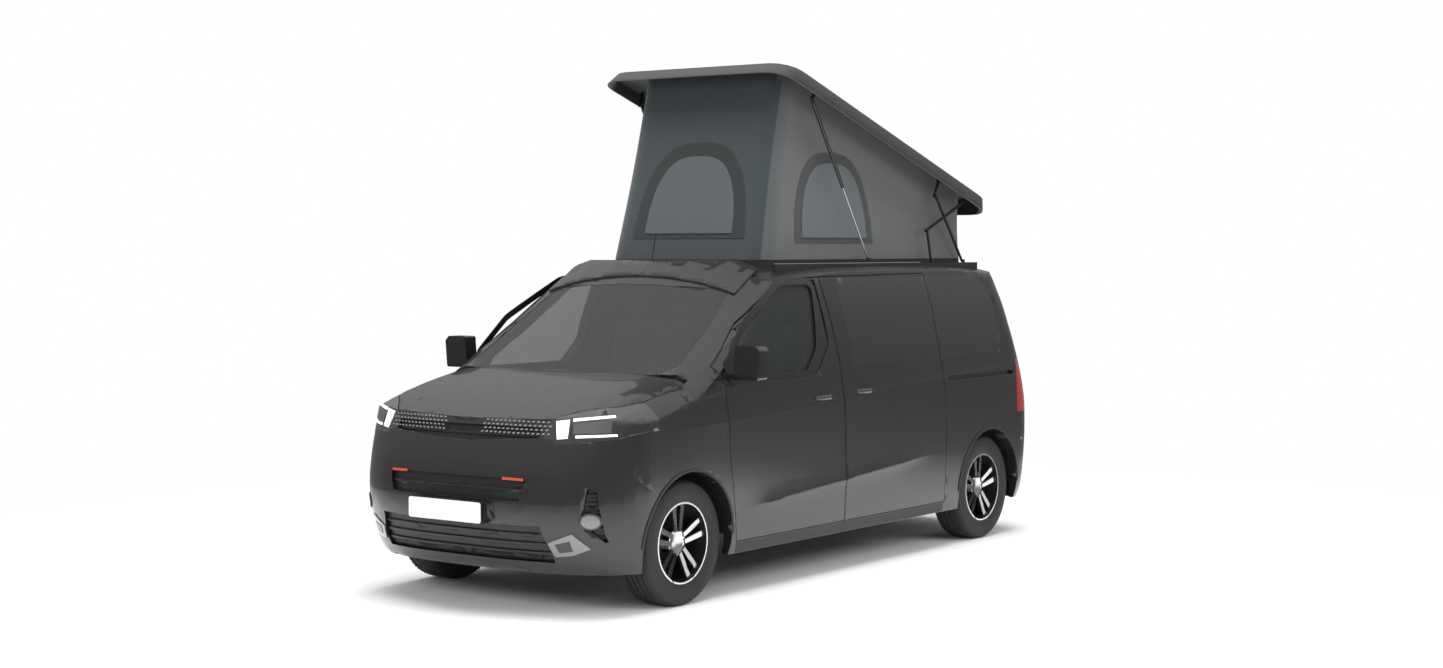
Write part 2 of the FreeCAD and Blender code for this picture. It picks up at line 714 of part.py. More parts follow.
def skin_layer(block, form):
    return layer(block, form, 0, size.skin - size.seat_gap)


def pane_layer(block, recess=0):
    return layer(block, cabin_form, recess, recess + size.glass_sheet)


def closure_cut(outline, axis, low, high):
    skin_cut = prism(outline, axis, low, high).cut(cabin_form(size.skin))
    return [skin_cut, prism(inset_outline(outline, size.ledge), axis, low + size.ledge, high)]


def closure_panel(outline, axis, low, high):
    seat = cabin_form(size.skin - size.seat_gap)
    leaf = prism(inset_outline(outline, size.door_gap), axis, low + size.door_gap, high)
    flange = skin_layer(leaf, cabin_form)
    small = inset_outline(outline, size.ledge + size.core_gap)
    core = prism(small, axis, low + size.ledge + size.core_gap, high)
    core = core.common(seat).cut(cabin_form(size.wall))
    return flange.fuse(core)


def hood_hole(extra=0):
    outline = inset_outline(hood_outline(), -size.door_gap - extra)
    return prism(outline, "z", size.hood_front_z - size.door_gap, size.far_reach)


# The welded shell: pillars, roof, quarter panels, firewall and tail frame
def make_body_shell():
    shell = cabin_form(0).common(
        box(-size.overrun, size.far_reach, size.firewall_y - size.wall, size.far_reach,
            size.sill_low_z, size.far_reach))
    cavity = cabin_form(size.wall).common(
        box(-size.far_reach, size.far_reach, size.firewall_y, size.far_reach,
            -size.far_reach, size.far_reach))
    side_low, side_high = size.side_start_x, size.body_half_width + size.overrun
    cowl_low = size.screen_low_z - size.cowl_depth - size.seat_gap
    lamp_block = prism(tail_lamp_outline(), "x", size.tail_lamp_x, side_high)
    bumper_block = prism(rear_bumper_outline(), "x", -size.overrun, side_high)
    rear_wall = cabin_form(size.rear_bumper_depth)
    cuts = [cavity, side_block(quarter_glass_outline(), quarter_radii()),
            prism(screen_outline(), "y", size.glass_start_y, size.glass_end_y, screen_radii()),
            box(-size.overrun, size.hatch_half_width, size.hatch_front_y, size.hatch_rear_y,
                size.roof_height - size.wall * 2, size.far_reach),
            layer(side_block(fender_outline()), front_form, 0, size.skin),
            side_block(sill_outline()).cut(cabin_form(size.skin)),
            lamp_block.cut(cabin_form(size.lamp_depth)),
            bumper_block.cut(rear_wall),
            side_block(rail_slot_outline()).cut(cabin_form(size.skin)),
            layer(hood_hole(), front_form, 0, size.skin + size.door_gap),
            prism(cowl_outline(), "z", cowl_low, size.screen_low_z)]
    cuts += closure_cut(front_door_outline(), "x", side_low, side_high)
    tip = box(side_low, side_high, -size.far_reach, size.tip_end_y, size.tip_low_z,
              size.pillar_mid_z)
    tip = tip.common(prism(front_door_outline(), "x", side_low, side_high))
    cuts.append(tip.cut(cabin_form(size.skin + size.tip_drop)))
    cuts += closure_cut(slide_door_outline(), "x", side_low, side_high)
    cuts += closure_cut(tail_outline(), "y", size.tail_start_y, size.far_reach)
    for y in (size.front_axle_y, rear_axle_y()):
        cuts += wheel_cuts(y, 0)
    cuts.append(box(-size.far_reach, size.far_reach, -size.far_reach, size.firewall_y,
                    -size.far_reach, size.firewall_low_z))
    rest = box(size.rest_x, size.rest_x + size.rest_width, size.hood_rear_y,
               size.firewall_y - size.wall + size.fixed_gap, size.rest_low_z, size.far_reach)
    shell = shell.cut(cuts).fuse(rest.common(front_form(size.skin)))
    keep("body_shell", across_centre(shell))


def make_sides():
    sill = skin_layer(side_block(inset_outline(sill_outline(), size.fixed_gap)), cabin_form)
    keep("sill_trims", both_sides(sill.cut(wheel_cuts(size.front_axle_y, size.fixed_gap))))
    side_low, side_high = size.side_start_x, size.body_half_width + size.overrun
    leaf = closure_panel(slide_door_outline(), "x", side_low, side_high)
    keep("sliding_doors", both_sides(leaf.cut(side_block(slide_glass_outline(),
                                                         size.glass_corner))))
    slide_pane = side_block(inset_outline(slide_glass_outline(), size.seat_gap),
                            size.glass_corner)
    quarter_pane = side_block(inset_outline(quarter_glass_outline(), size.seat_gap),
                              quarter_radii())
    panes = Part.makeCompound([pane_layer(slide_pane), pane_layer(quarter_pane)])
    keep("side_glass", both_sides(panes))


def make_front_doors():
    leaf = closure_panel(front_door_outline(), "x", size.side_start_x,
                         size.body_half_width + size.overrun)
    hole = side_block(door_window_outline(), size.window_round)
    recess = side_block(surround_outline()).cut(cabin_form(size.surround_depth))
    keep_pair("door", leaf.cut([hole, recess]))
    pane = side_block(inset_outline(door_window_outline(), size.seat_gap), size.window_round)
    keep_pair("door_glass", pane_layer(pane, size.glass_recess))
    band = layer(side_block(inset_outline(surround_outline(), size.seat_gap)), cabin_form,
                 size.surround_recess, size.surround_depth - size.seat_gap)
    keep_pair("mirror", band.cut(hole).fuse(mirror_solid()))


def mirror_solid():
    foot = box(size.mirror_foot_x, size.mirror_x + size.mirror_width / 2, size.mirror_front_y,
               size.mirror_front_y + size.mirror_foot_run, size.mirror_low_z,
               size.mirror_low_z + size.mirror_foot_height)
    outer = size.mirror_x + size.mirror_width
    head_outline = [(size.mirror_x - size.mirror_lean, size.mirror_low_z),
                    (outer - size.mirror_lean, size.mirror_low_z),
                    (outer, size.mirror_top_z - size.mirror_round),
                    (outer - size.mirror_round, size.mirror_top_z), (size.mirror_x, size.mirror_top_z)]
    head = prism(head_outline, "y", size.mirror_front_y, size.mirror_front_y + size.mirror_depth,
                 size.mirror_round / 2)
    return foot.cut(cabin_form(size.surround_recess)).fuse(head)


def make_screen():
    outline = inset_outline(screen_outline(), size.seat_gap)
    pane = prism(outline, "y", size.glass_start_y, size.glass_end_y, screen_radii())
    keep("windscreen", across_centre(pane_layer(pane)))
    gap = size.fixed_gap
    tray = prism(inset_outline(cowl_outline(), gap), "z", size.screen_low_z - size.cowl_depth,
                 size.screen_low_z - gap)
    tray = tray.common(front_form(size.glass_sheet)).cut(hood_hole())
    keep("cowl", across_centre(tray))


def make_tailgate():
    leaf = closure_panel(tail_outline(), "y", size.tail_start_y, size.far_reach)
    radii = [0, size.glass_corner, size.glass_corner, 0]
    hole = prism(tail_glass_outline(), "y", size.tail_start_y, size.far_reach, radii)
    keep("tailgate", across_centre(leaf.cut(hole)))
    pane = prism(inset_outline(tail_glass_outline(), size.seat_gap), "y", size.tail_start_y,
                 size.far_reach, radii)
    keep("tailgate_glass", across_centre(pane_layer(pane)))


def make_front_panels():
    hood = skin_layer(prism(hood_outline(), "z", size.hood_front_z, size.far_reach), front_form)
    keep("hood", across_centre(hood))
    gap = size.fixed_gap
    lamp_block = prism(lamp_outline(), "y", -size.far_reach, size.lamp_rear_y)
    lamp_hole = prism(inset_outline(lamp_outline(), -gap), "y", -size.far_reach,
                      size.lamp_rear_y + gap)
    lamp = layer(lamp_block, front_form, 0, size.lamp_depth).cut(hood_hole())
    keep("headlamps", both_sides(lamp))
    holes = [hood_hole(), lamp_hole] + wheel_cuts(size.front_axle_y, 0)
    fender = skin_layer(side_block(inset_outline(fender_outline(), gap / 2)), front_form)
    tray_hole = prism(inset_outline(cowl_outline(), -gap), "z", size.screen_low_z - size.wall * 2,
                      size.far_reach)
    keep("front_fenders", both_sides(fender.cut(holes + [tray_hole])))
    beyond = [(-size.far_reach, size.bumper_low_z - size.overrun),
              (-size.far_reach, size.fender_top_z)]
    front_block = prism(inset_outline(fender_seam() + beyond, gap / 2), "x", -size.overrun,
                        size.far_reach)
    bumper = skin_layer(front_block, front_form)
    holes.append(box(-size.far_reach, size.far_reach, -size.far_reach, size.far_reach,
                     -size.far_reach, size.bumper_low_z))
    for outline in intake_outlines():
        holes.append(prism(outline, "y", -size.far_reach, size.front_corner_y,
                           size.intake_round))
    carrier = box(0, size.plate_width / 2, -size.rear_reach, -size.front_reach + size.skin,
                  size.plate_z - size.plate_height / 2, size.plate_z + size.plate_height / 2)
    bumper = bumper.cut(holes).fuse(carrier.cut(front_form(size.seat_gap)))
    keep("front_bumper", across_centre(bumper))
    keep("grilles", across_centre(grille_solid()))


def grille_solid():
    back = size.skin + size.grille_sheet
    plate_outline = [(-size.overrun, size.grille_low_z - size.ledge),
                     (size.grille_low_x + size.ledge, size.grille_low_z - size.ledge),
                     (size.vent_outer_x + size.ledge, size.vent_outer_z - size.ledge),
                     (size.vent_top_x + size.ledge, size.vent_inner_z + size.ledge),
                     (size.strip_end_x + size.ledge, size.strip_end_z - size.ledge),
                     (size.strip_end_x, size.strip_top_z + size.ledge),
                     (-size.overrun, size.strip_top_z + size.ledge)]
    plate = layer(prism(plate_outline, "y", -size.far_reach, size.front_corner_y), front_form,
                  size.skin, back)
    bars = []
    for outline in intake_outlines():
        low = min(z for x, z in outline)
        high = max(z for x, z in outline)
        count = max(2, int((high - low) / size.bar_pitch))
        opening = prism(inset_outline(outline, size.fixed_gap), "y", -size.far_reach,
                        size.front_corner_y, size.intake_round)
        for place in range(1, count):
            z = low + (high - low) * place / count - size.bar_height / 2
            bars.append(opening.common(box(-size.overrun, size.body_half_width, -size.far_reach,
                                           size.front_corner_y, z, z + size.bar_height)))
    ribs = layer(Part.makeCompound(bars), front_form, size.bar_recess, size.skin)
    return plate.fuse(ribs).cut(wheel_cuts(size.front_axle_y, 0))


def make_rear_panels():
    gap = size.fixed_gap
    lamp = prism(inset_outline(tail_lamp_outline(), gap), "x", size.tail_lamp_x + gap,
                 size.far_reach)
    keep("tail_lamps", both_sides(layer(lamp, cabin_form, 0, size.lamp_depth - size.seat_gap)))
    bumper = prism(inset_outline(rear_bumper_outline(), gap), "x", -size.overrun,
                   size.far_reach)
    bumper = layer(bumper, cabin_form, 0, size.rear_bumper_depth - size.seat_gap)
    keep("rear_bumper", across_centre(bumper.cut(wheel_cuts(rear_axle_y(), gap))))


# The pop-up roof: fairing, side rails, lid, canvas walls and the six-bar lift on each side
def make_fairing():
    half = size.fairing_half_width
    low = size.roof_height - size.wall * 3
    outline = [(0, low), (half, low), (half, size.roof_height), (0, size.roof_height)]
    block = prism(outline, "y", size.fairing_front_y, size.fairing_rear_y,
                  [0, 0, size.fairing_round, 0])
    block = block.cut([glass_over(-size.fairing_lift), cabin_form(-size.seat_gap)])
    foot = vector(0, size.antenna_y, size.antenna_z)
    run = vector(0, size.antenna_tip_y, size.antenna_tip_z) - foot
    rod = many_sided(size.antenna_radius, foot, run)
    socket = many_sided(size.antenna_foot, foot, vector(0, 0, size.antenna_foot))
    keep("roof_fairing", across_centre(block).fuse([rod, socket]))


def canvas_outline(inset):
    half = size.canvas_base_half - inset
    return [(-half, size.canvas_front_y + inset), (half, size.canvas_front_y + inset),
            (half, size.canvas_rear_y - inset), (-half, size.canvas_rear_y - inset)]


def side_plate(side, low_x, outline, radii=0):
    start = low_x if side > 0 else -low_x - size.bar_sheet
    return prism(outline, "x", start, start + size.bar_sheet, radii)


def side_pin(side, low_x, high_x, y, z, radius):
    start = low_x if side > 0 else -high_x
    return cross_bar(radius, start, start + high_x - low_x, y, z)


def side_box(side, low_x, high_x, low_y, high_y, low_z, high_z):
    start = low_x if side > 0 else -high_x
    return box(start, start + high_x - low_x, low_y, high_y, low_z, high_z)


def layer_x(place):
    return size.first_layer_x + place * size.layer_pitch


def inward_pin(side, low_x, y, z):
    return side_pin(side, low_x - size.layer_pitch, low_x + size.bar_sheet, y, z,
                    size.pin_radius)


def base_ear(side, low_x, y, z):
    half = size.bar_half_height
    foot = size.roof_height - size.wall
    outline = [(y - half * 3, foot), (y + half * 3, foot), (y + half, z + half),
               (y - half, z + half)]
    rail_side = size.rail_x + size.rail_width / 2
    bridge = side_box(side, low_x, rail_side, y - half * 3, y + half * 3, foot,
                      size.rail_top_z - size.ear_drop)
    return [side_plate(side, low_x, outline), inward_pin(side, low_x, y, z), bridge]


def make_roof_rails():
    high = size.canvas_base_z
    low = high - size.wall * 2
    inner_corner = size.canvas_corner - size.canvas_frame_wall
    ring = prism(canvas_outline(0), "z", low, high, size.canvas_corner)
    ring = ring.cut(prism(canvas_outline(size.canvas_frame_wall), "z", low, high, inner_corner))
    half = size.rail_width / 2
    rails = []
    for side in (-1, 1):
        rails.append(side_box(side, size.rail_x - half, size.rail_x + half, size.rail_front_y,
                              size.rail_rear_y, low, size.rail_top_z))
        rails += base_ear(side, layer_x(5), size.short_base_y, size.short_base_z)
        rails += base_ear(side, layer_x(3), size.long_base_y, size.long_base_z)
        eye_x = size.strut_x + size.layer_pitch - size.bar_sheet / 2
        rails += base_ear(side, eye_x, size.strut_eye_y, size.strut_eye_z)[::2]
    pieces = ring.fuse(rails)
    roof = [cabin_form(-size.seat_gap), mirrored(cabin_form(-size.seat_gap))]
    keep("roof_rails", pieces.cut(roof))


def bar(side, place, first, second):
    (y0, z0), (y1, z1) = first, second
    length = math.hypot(y1 - y0, z1 - z0)
    half = size.bar_half_height
    along = ((y1 - y0) / length, (z1 - z0) / length)
    turn = math.atan2(along[1], along[0])
    outline = []
    for (y, z), start in (((y1, z1), turn - math.pi / 2), ((y0, z0), turn + math.pi / 2)):
        for step in range(round_steps + 1):
            angle = start + math.pi * step / round_steps
            outline.append((y + half * math.cos(angle), z + half * math.sin(angle)))
    return side_plate(side, layer_x(place), outline)


def pin_hole(y, z):
    reach = size.far_reach
    return cross_bar(size.pin_radius + size.joint_play, -reach, reach, y, z)


def make_lift():
    short_base = (size.short_base_y, size.short_base_z)
    long_base = (size.long_base_y, size.long_base_z)
    low_knee = (size.low_knee_y, size.low_knee_z)
    high_knee = (size.high_knee_y, size.high_knee_z)
    crossing = (size.crossing_y, size.crossing_z)
    rear_pin = (size.rear_pin_y, size.rear_pin_z)
    fore_pin = (size.fore_pin_y, size.fore_pin_z)
    long_bars, cross_bars, short_links, upper_links = [], [], [], []
    for side in (-1, 1):
        long_bars.append(bar(side, 2, long_base, high_knee).cut(
            [pin_hole(*long_base), pin_hole(*crossing)]))
        crossing_bar = bar(side, 3, low_knee, rear_pin).cut(pin_hole(*rear_pin))
        cross_bars.append(crossing_bar.fuse(inward_pin(side, layer_x(3), *crossing)))
        short_links.append(bar(side, 4, short_base, low_knee).cut(pin_hole(*short_base)))
        upper_links.append(bar(side, 1, fore_pin, high_knee).cut(pin_hole(*fore_pin)))
    keep("lift_long_bars", Part.makeCompound(long_bars))
    keep("lift_cross_bars", Part.makeCompound(cross_bars))
    keep("lift_short_links", Part.makeCompound(short_links))
    keep("lift_upper_links", Part.makeCompound(upper_links))


def tilted_point(point):
    turn = FreeCAD.Rotation(vector(1, 0, 0), -size.lid_angle)
    return turn.multVec(point) + vector(0, size.lid_rear_y, size.lid_rear_z)


def tilted(shape):
    turned = shape.copy()
    turned.rotate(vector(0, 0, 0), vector(1, 0, 0), -size.lid_angle)
    turned.translate(vector(0, size.lid_rear_y, size.lid_rear_z))
    return turned


def cornered_ring(half, low_y, high_y, z, radius):
    ring = []
    middles = [(-half + radius, low_y + radius, 180), (half - radius, low_y + radius, 270),
               (half - radius, high_y - radius, 0), (-half + radius, high_y - radius, 90)]
    for x, y, start in middles:
        for step in range(corner_steps + 1):
            angle = math.radians(start + 90 * step / corner_steps)
            ring.append(vector(x + radius * math.cos(angle), y + radius * math.sin(angle), z))
    return ring


def lid_loft(inset):
    corner = size.lid_corner - inset
    levels = [(size.lid_half_width, 0, 0, 0),
              (size.lid_waist_half, size.lid_waist_run, size.lid_tail_run / 3,
               size.lid_waist_height - inset),
              (size.lid_top_half, size.lid_nose_run, size.lid_tail_run, size.lid_height - inset)]
    return ring_solid([cornered_ring(half - inset, nose + inset - size.lid_length, -tail - inset,
                                     z, corner) for half, nose, tail, z in levels])


def lid_bracket(side, low_x, y, z):
    lean = math.radians(size.lid_angle)
    half = size.bar_half_height
    rise = size.lid_height * 2
    top_y, top_z = y + rise * math.sin(lean), z + rise * math.cos(lean)
    outline = [(top_y - half * 2, top_z), (y - half, z - half), (y + half, z - half),
               (top_y + half * 2, top_z)]
    reach = size.far_reach
    room = box(-reach, reach, -size.lid_length, 0, -size.wall, 0)
    room = room.fuse(lid_loft(size.lid_wall + size.seat_gap))
    return side_plate(side, low_x, outline).common(tilted(room))


def make_lid():
    brackets = []
    for side in (-1, 1):
        rear = (size.rear_pin_y, size.rear_pin_z)
        fore = (size.fore_pin_y, size.fore_pin_z)
        strut = (size.strut_pin_y, size.strut_pin_z)
        strut_ear_x = size.strut_x + size.layer_pitch - size.bar_sheet / 2
        pin = side_pin(side, layer_x(0), layer_x(1) + size.bar_sheet, *fore, size.pin_radius)
        brackets += [lid_bracket(side, layer_x(4), *rear).fuse(inward_pin(side, layer_x(4), *rear)),
                     lid_bracket(side, layer_x(0), *fore).fuse(pin),
                     lid_bracket(side, strut_ear_x, *strut).fuse(
                         inward_pin(side, strut_ear_x, *strut))]
    keep("lid", tilted(lid_loft(0).cut(lid_loft(size.lid_wall))))
    keep("lid_brackets", Part.makeCompound(brackets))


def canvas_loft(inset):
    low = size.canvas_base_z + size.seat_gap
    high = size.lid_height - size.lid_wall - size.seat_gap
    corner = size.canvas_corner - inset
    base = cornered_ring(size.canvas_base_half - inset, size.canvas_front_y + inset,
                         size.canvas_rear_y - inset, low, corner)
    top = cornered_ring(size.canvas_top_half - inset, inset - size.canvas_top_front_run,
                        -inset - size.canvas_top_rear_run, high, corner)
    return ring_solid([base, [tilted_point(point) for point in top]])


def make_canvas():
    keep("canvas_walls", canvas_loft(0).cut(canvas_loft(size.canvas_wall)))


def strut_run():
    pin_point = vector(size.strut_x, size.strut_pin_y, size.strut_pin_z)
    eye_point = vector(size.strut_x, size.strut_eye_y, size.strut_eye_z)
    run = eye_point - pin_point
    length = run.Length
    run.normalize()
    return pin_point, run, length


def make_struts():
    start, run, length = strut_run()
    tang = size.barrel_radius * 3
    flat_low = size.strut_x - size.bar_sheet / 2
    barrels, rods = [], []
    for side in (-1, 1):
        turn = same_side if side > 0 else mirrored
        body = many_sided(size.barrel_radius, start + run * tang,
                          run * (size.barrel_length - tang))
        bore = many_sided(size.rod_radius + size.joint_play,
                          start + run * (tang + size.barrel_radius), run * size.barrel_length)
        head = flat_link(flat_low, start, start + run * (tang + size.barrel_radius / 2))
        hole = pin_hole(start.y, start.z)
        barrels.append(turn(body.cut(bore).fuse(head).cut(hole)))
        rod_start = size.barrel_length - size.rod_overlap
        rod = many_sided(size.rod_radius, start + run * rod_start,
                         run * (length - tang - rod_start))
        eye = start + run * length
        rod_head = flat_link(flat_low, eye, eye - run * (tang + size.barrel_radius / 2))
        rods.append(turn(rod.fuse(rod_head).cut(pin_hole(eye.y, eye.z))))
    keep("strut_barrels", Part.makeCompound(barrels))
    keep("strut_rods", Part.makeCompound(rods))


def flat_link(low_x, first, second):
    run = second - first
    run.normalize()
    half = size.bar_half_height
    across = vector(0, -run.z, run.y) * half
    ends = [first - run * half + across, first - run * half - across, second - across,
            second + across]
    outline = [(point.y, point.z) for point in ends]
    radii = [half - size.joint_play, half - size.joint_play, 0, 0]
    return prism(outline, "x", low_x, low_x + size.bar_sheet, radii)


def same_side(shape):
    return shape


# Wheels: tyres are one profile carried round the axle, rims are rings with spokes in a pattern
def tyre_profile():
    high = size.wheel_radius
    low = size.rim_radius + size.bead_play
    half = size.tyre_half_width
    left = [(-size.rim_half_width, low), (-half, low + size.side_bulge),
            (-half + size.side_tuck, high - size.shoulder_low), (-size.tread_half_width, high)]
    return left + [(-x, radius) for x, radius in reversed(left)]


def make_tyre(name, x, y):
    rings = []
    for side in range(large_sides):
        angle = 2 * math.pi * side / large_sides
        rings.append([vector(x + across, y + radius * math.cos(angle),
                             size.wheel_radius + radius * math.sin(angle))
                      for across, radius in tyre_profile()])
    faces = []
    for place, ring in enumerate(rings):
        faces += ring_panels(rings[place - 1], ring)
    keep("tyre_" + name, closed_solid(faces))


def axle_prism(body, kind, name, radius, sides, start, depth):
    feature = body.newObject("PartDesign::" + kind, body.Name + "_" + name)
    feature.AttachmentSupport = [(origin_plane(body, "YZ_Plane"), "")]
    feature.MapMode = "FlatFace"
    feature.Polygon = sides
    bind(feature, Circumradius=radius, Height=depth)
    feature.setExpression(".AttachmentOffset.Base.z", start.text)
    return feature


def make_rim(name):
    body = doc.addObject("PartDesign::Body", "rim_" + name)
    half = bound.rim_half_width
    disc_end = bound.disc_x + bound.disc_sheet
    axle_prism(body, "AdditivePrism", "barrel", bound.rim_radius, large_sides, -half, half * 2)
    axle_prism(body, "SubtractivePrism", "hollow", bound.rim_radius - bound.rim_wall,
               large_sides, -half, half * 2)
    axle_prism(body, "AdditivePrism", "disc", bound.disc_radius, disc_sides, bound.disc_x,
               bound.disc_sheet)
    axle_prism(body, "AdditivePrism", "hub", bound.hub_radius, disc_sides, disc_end,
               bound.hub_outer_x - disc_end)
    bore = body.newObject("PartDesign::SubtractiveCylinder", body.Name + "_bore")
    bore.AttachmentSupport = [(origin_plane(body, "YZ_Plane"), "")]
    bore.MapMode = "FlatFace"
    bind(bore, Radius=bound.spindle_radius + bound.spindle_play,
         Height=bound.hub_outer_x - bound.cap_sheet - bound.disc_x + bound.overrun)
    bore.setExpression(".AttachmentOffset.Base.z", (bound.disc_x - bound.overrun).text)
    tip = bound.rim_radius - bound.rim_wall
    spokes = []
    for side in (1, -1):
        near_in = bound.spoke_near_gap * side
        near_out = (bound.spoke_near_gap + bound.spoke_near_width) * side
        far_in = bound.spoke_far_gap * side
        far_out = (bound.spoke_far_gap + bound.spoke_far_width) * side
        root = bound.spoke_root
        corners = [(near_in, root), (near_out, root), (far_out, tip), (far_in, tip)]
        sketch = drawn_profile(body, "YZ_Plane", corners)
        sketch.setExpression(".AttachmentOffset.Base.z",
                             (bound.spoke_outer_x - bound.spoke_depth).text)
        pad = body.newObject("PartDesign::Pad", body.Name + "_spoke")
        pad.Profile = sketch
        pad.setExpression("Length", bound.spoke_depth.text)
        spokes.append(pad)
    doc.recompute()
    ring = body.newObject("PartDesign::PolarPattern", body.Name + "_spokes")
    ring.Originals = spokes
    ring.Axis = (spokes[0].Profile[0], ["N_Axis"])
    ring.Angle = 360
    ring.setExpression("Occurrences", bound.spoke_count.text)
    body.Tip = ring
    return body


def make_wheels():
    rear_y = bound.front_axle_y + bound.wheelbase
    for name, x, y, side in (("front_left", bound.front_wheel_x, bound.front_axle_y, 1),
                             ("front_right", -bound.front_wheel_x, bound.front_axle_y, -1),
                             ("rear_left", bound.rear_wheel_x, rear_y, 1),
                             ("rear_right", -bound.rear_wheel_x, rear_y, -1)):
        make_tyre(name, x.value, y.value)
        body = make_rim(name)
        if side < 0:
            body.Placement = FreeCAD.Placement(vector(0, 0, 0),
                                               FreeCAD.Rotation(vector(0, 0, 1), 180))
        place_at(body, x, y, bound.wheel_radius)
        adopt(body)


# Steering knuckles, suspension arms and the rear beam
def part_box(name, corner, extents):
    feature = doc.addObject("Part::Box", name)
    bind(feature, Length=extents[0], Width=extents[1], Height=extents[2])
    place_at(feature, *corner)
    return feature


def part_cylinder(name, centre, radius, length, direction):
    feature = doc.addObject("Part::Cylinder", name)
    bind(feature, Radius=radius, Height=length)
    turn = FreeCAD.Rotation(vector(0, 0, 1), direction)
    feature.Placement = FreeCAD.Placement(vector(0, 0, 0), turn)
    place_at(feature, *centre)
    return feature


def knuckle_pieces(name, side):
    x = bound.kingpin_x
    y = bound.front_axle_y
    z = bound.wheel_radius
    half = bound.upright_half_width
    depth = bound.upright_depth
    low_x = x - depth if side > 0 else -x
    spindle_end = bound.front_wheel_x + bound.hub_outer_x - bound.cap_sheet - bound.seat_gap
    start = x if side > 0 else -spindle_end
    upright = part_box(name + "_upright", (low_x, y - half, z - bound.upright_reach),
                       (depth, half * 2, bound.upright_reach * 2))
    spindle = part_cylinder(name + "_spindle", (start, y, z), bound.spindle_radius,
                            spindle_end - x, vector(1, 0, 0))
    boss = part_cylinder(name + "_boss", (low_x, y, z), bound.knuckle_radius, depth,
                         vector(1, 0, 0))
    arm = part_box(name + "_arm", (low_x, y + half, z - bound.upright_half_width),
                   (depth, bound.upright_reach - half, bound.arm_height))
    return [upright, spindle, boss, arm]


def make_knuckles():
    for name, side in (("knuckle_left", 1), ("knuckle_right", -1)):
        adopt(joined_object(name, knuckle_pieces(name, side)))


def suspension_side():
    bottom = size.wheel_radius - size.upright_reach - size.seat_gap
    roof = damper_top()
    y = size.front_axle_y
    half = size.arm_width / 2
    arm = box(size.subframe_half_width - size.overrun, size.kingpin_x, y - half, y + half,
              bottom - size.arm_height, bottom)
    top = size.wheel_radius + size.upright_reach + size.seat_gap
    foot = box(size.damper_x - size.spring_radius, size.kingpin_x - size.seat_gap, y - half,
               y + half, top, top + size.damper_foot)
    shaft = cross_bar(size.shaft_radius, size.gearbox_half_width - size.overrun,
                      size.kingpin_x - size.shaft_end_run, y, size.wheel_radius)
    return [arm, foot, shaft] + damper(y, top, roof)


def damper_top():
    flat_radius = size.well_radius * math.cos(math.pi / large_sides)
    run = math.sqrt(flat_radius ** 2 - size.spring_radius ** 2)
    return size.wheel_radius + run - size.seat_gap


def damper(y, low, high):
    spring_low = low + (high - low) / 3
    tube = many_sided(size.damper_radius, vector(size.damper_x, y, low),
                      vector(0, 0, high - low))
    spring = many_sided(size.spring_radius, vector(size.damper_x, y, spring_low),
                        vector(0, 0, high - spring_low))
    return [tube, spring]


def front_suspension():
    low = size.wheel_radius - size.upright_reach - size.arm_height - size.seat_gap
    half = size.subframe_half_width
    frame = box(-half, half, size.subframe_front_y, size.subframe_rear_y, low,
                size.subframe_top_z)
    gearbox = box(-size.gearbox_half_width, size.gearbox_half_width, size.engine_rear_y,
                  size.engine_rear_y + size.gearbox_run, size.gearbox_low_z, size.gearbox_top_z)
    stands = []
    for sign in (-1, 1):
        x = sign * size.gearbox_half_width - size.engine_mount / 2
        stands.append(box(x, x + size.engine_mount, size.engine_rear_y - size.engine_mount,
                          size.engine_rear_y, size.subframe_top_z,
                          size.engine_low_z - size.seat_gap))
        stands.append(box(x, x + size.engine_mount, size.engine_rear_y,
                          size.engine_rear_y + size.engine_mount, size.subframe_top_z,
                          size.gearbox_low_z))
    one_side = suspension_side()
    other_side = [mirrored(piece) for piece in one_side]
    return frame.fuse([gearbox] + stands + one_side + other_side)


def rear_suspension():
    y = rear_axle_y()
    z = size.wheel_radius
    x_low = size.kingpin_x - size.upright_depth
    half = size.upright_half_width
    roof = damper_top()
    carrier = box(x_low, size.kingpin_x, y - half, y + half, z - size.upright_reach,
                  z + size.upright_reach)
    spindle_end = size.rear_wheel_x + size.hub_outer_x - size.cap_sheet - size.seat_gap
    spindle = Part.makeCylinder(size.spindle_radius, spindle_end - size.kingpin_x,
                                vector(size.kingpin_x, y, z), vector(1, 0, 0))
    arm = box(size.trail_arm_x, x_low + size.seat_gap, size.trail_arm_y, y + half,
              z - size.arm_height, z - size.seat_gap)
    shelf = box(size.damper_x - size.spring_radius, size.kingpin_x, y - half, y + half,
                z + size.upright_reach, z + size.upright_reach + size.damper_foot)
    mount = box(size.beam_x, size.beam_x + size.beam_width, size.trail_arm_y - half,
                size.trail_arm_y + half, size.axle_tube_z,
                size.floor_top_z - size.floor_sheet - size.seat_gap)
    one_side = [carrier, spindle, arm, shelf, mount]
    one_side += damper(y, z + size.upright_reach, roof)
    tube = cross_bar(size.axle_tube, -x_low, x_low, size.trail_arm_y, size.axle_tube_z)
    other_side = [mirrored(piece) for piece in one_side]
    return tube.fuse(one_side + other_side)


def make_suspension():
    keep("suspension", Part.makeCompound([front_suspension(), rear_suspension()]))


def make_liners():
    rings = []
    for y in (size.front_axle_y, rear_axle_y()):
        outer = cross_bar(size.well_radius + size.liner_sheet,
                               size.well_depth_x - size.liner_sheet, size.lip_x, y,
                               size.wheel_radius)
        inner = cross_bar(size.well_radius, size.well_depth_x, size.far_reach, y,
                               size.wheel_radius)
        below = box(0, size.far_reach, -size.far_reach, size.far_reach, -size.far_reach,
                    size.wheel_radius)
        shaft_hole = cross_bar(size.shaft_hole, 0, size.lip_x, y, size.wheel_radius)
        rings.append(outer.cut([inner, below, shaft_hole]))
    keep("wheel_liners", both_sides(Part.makeCompound(rings)))


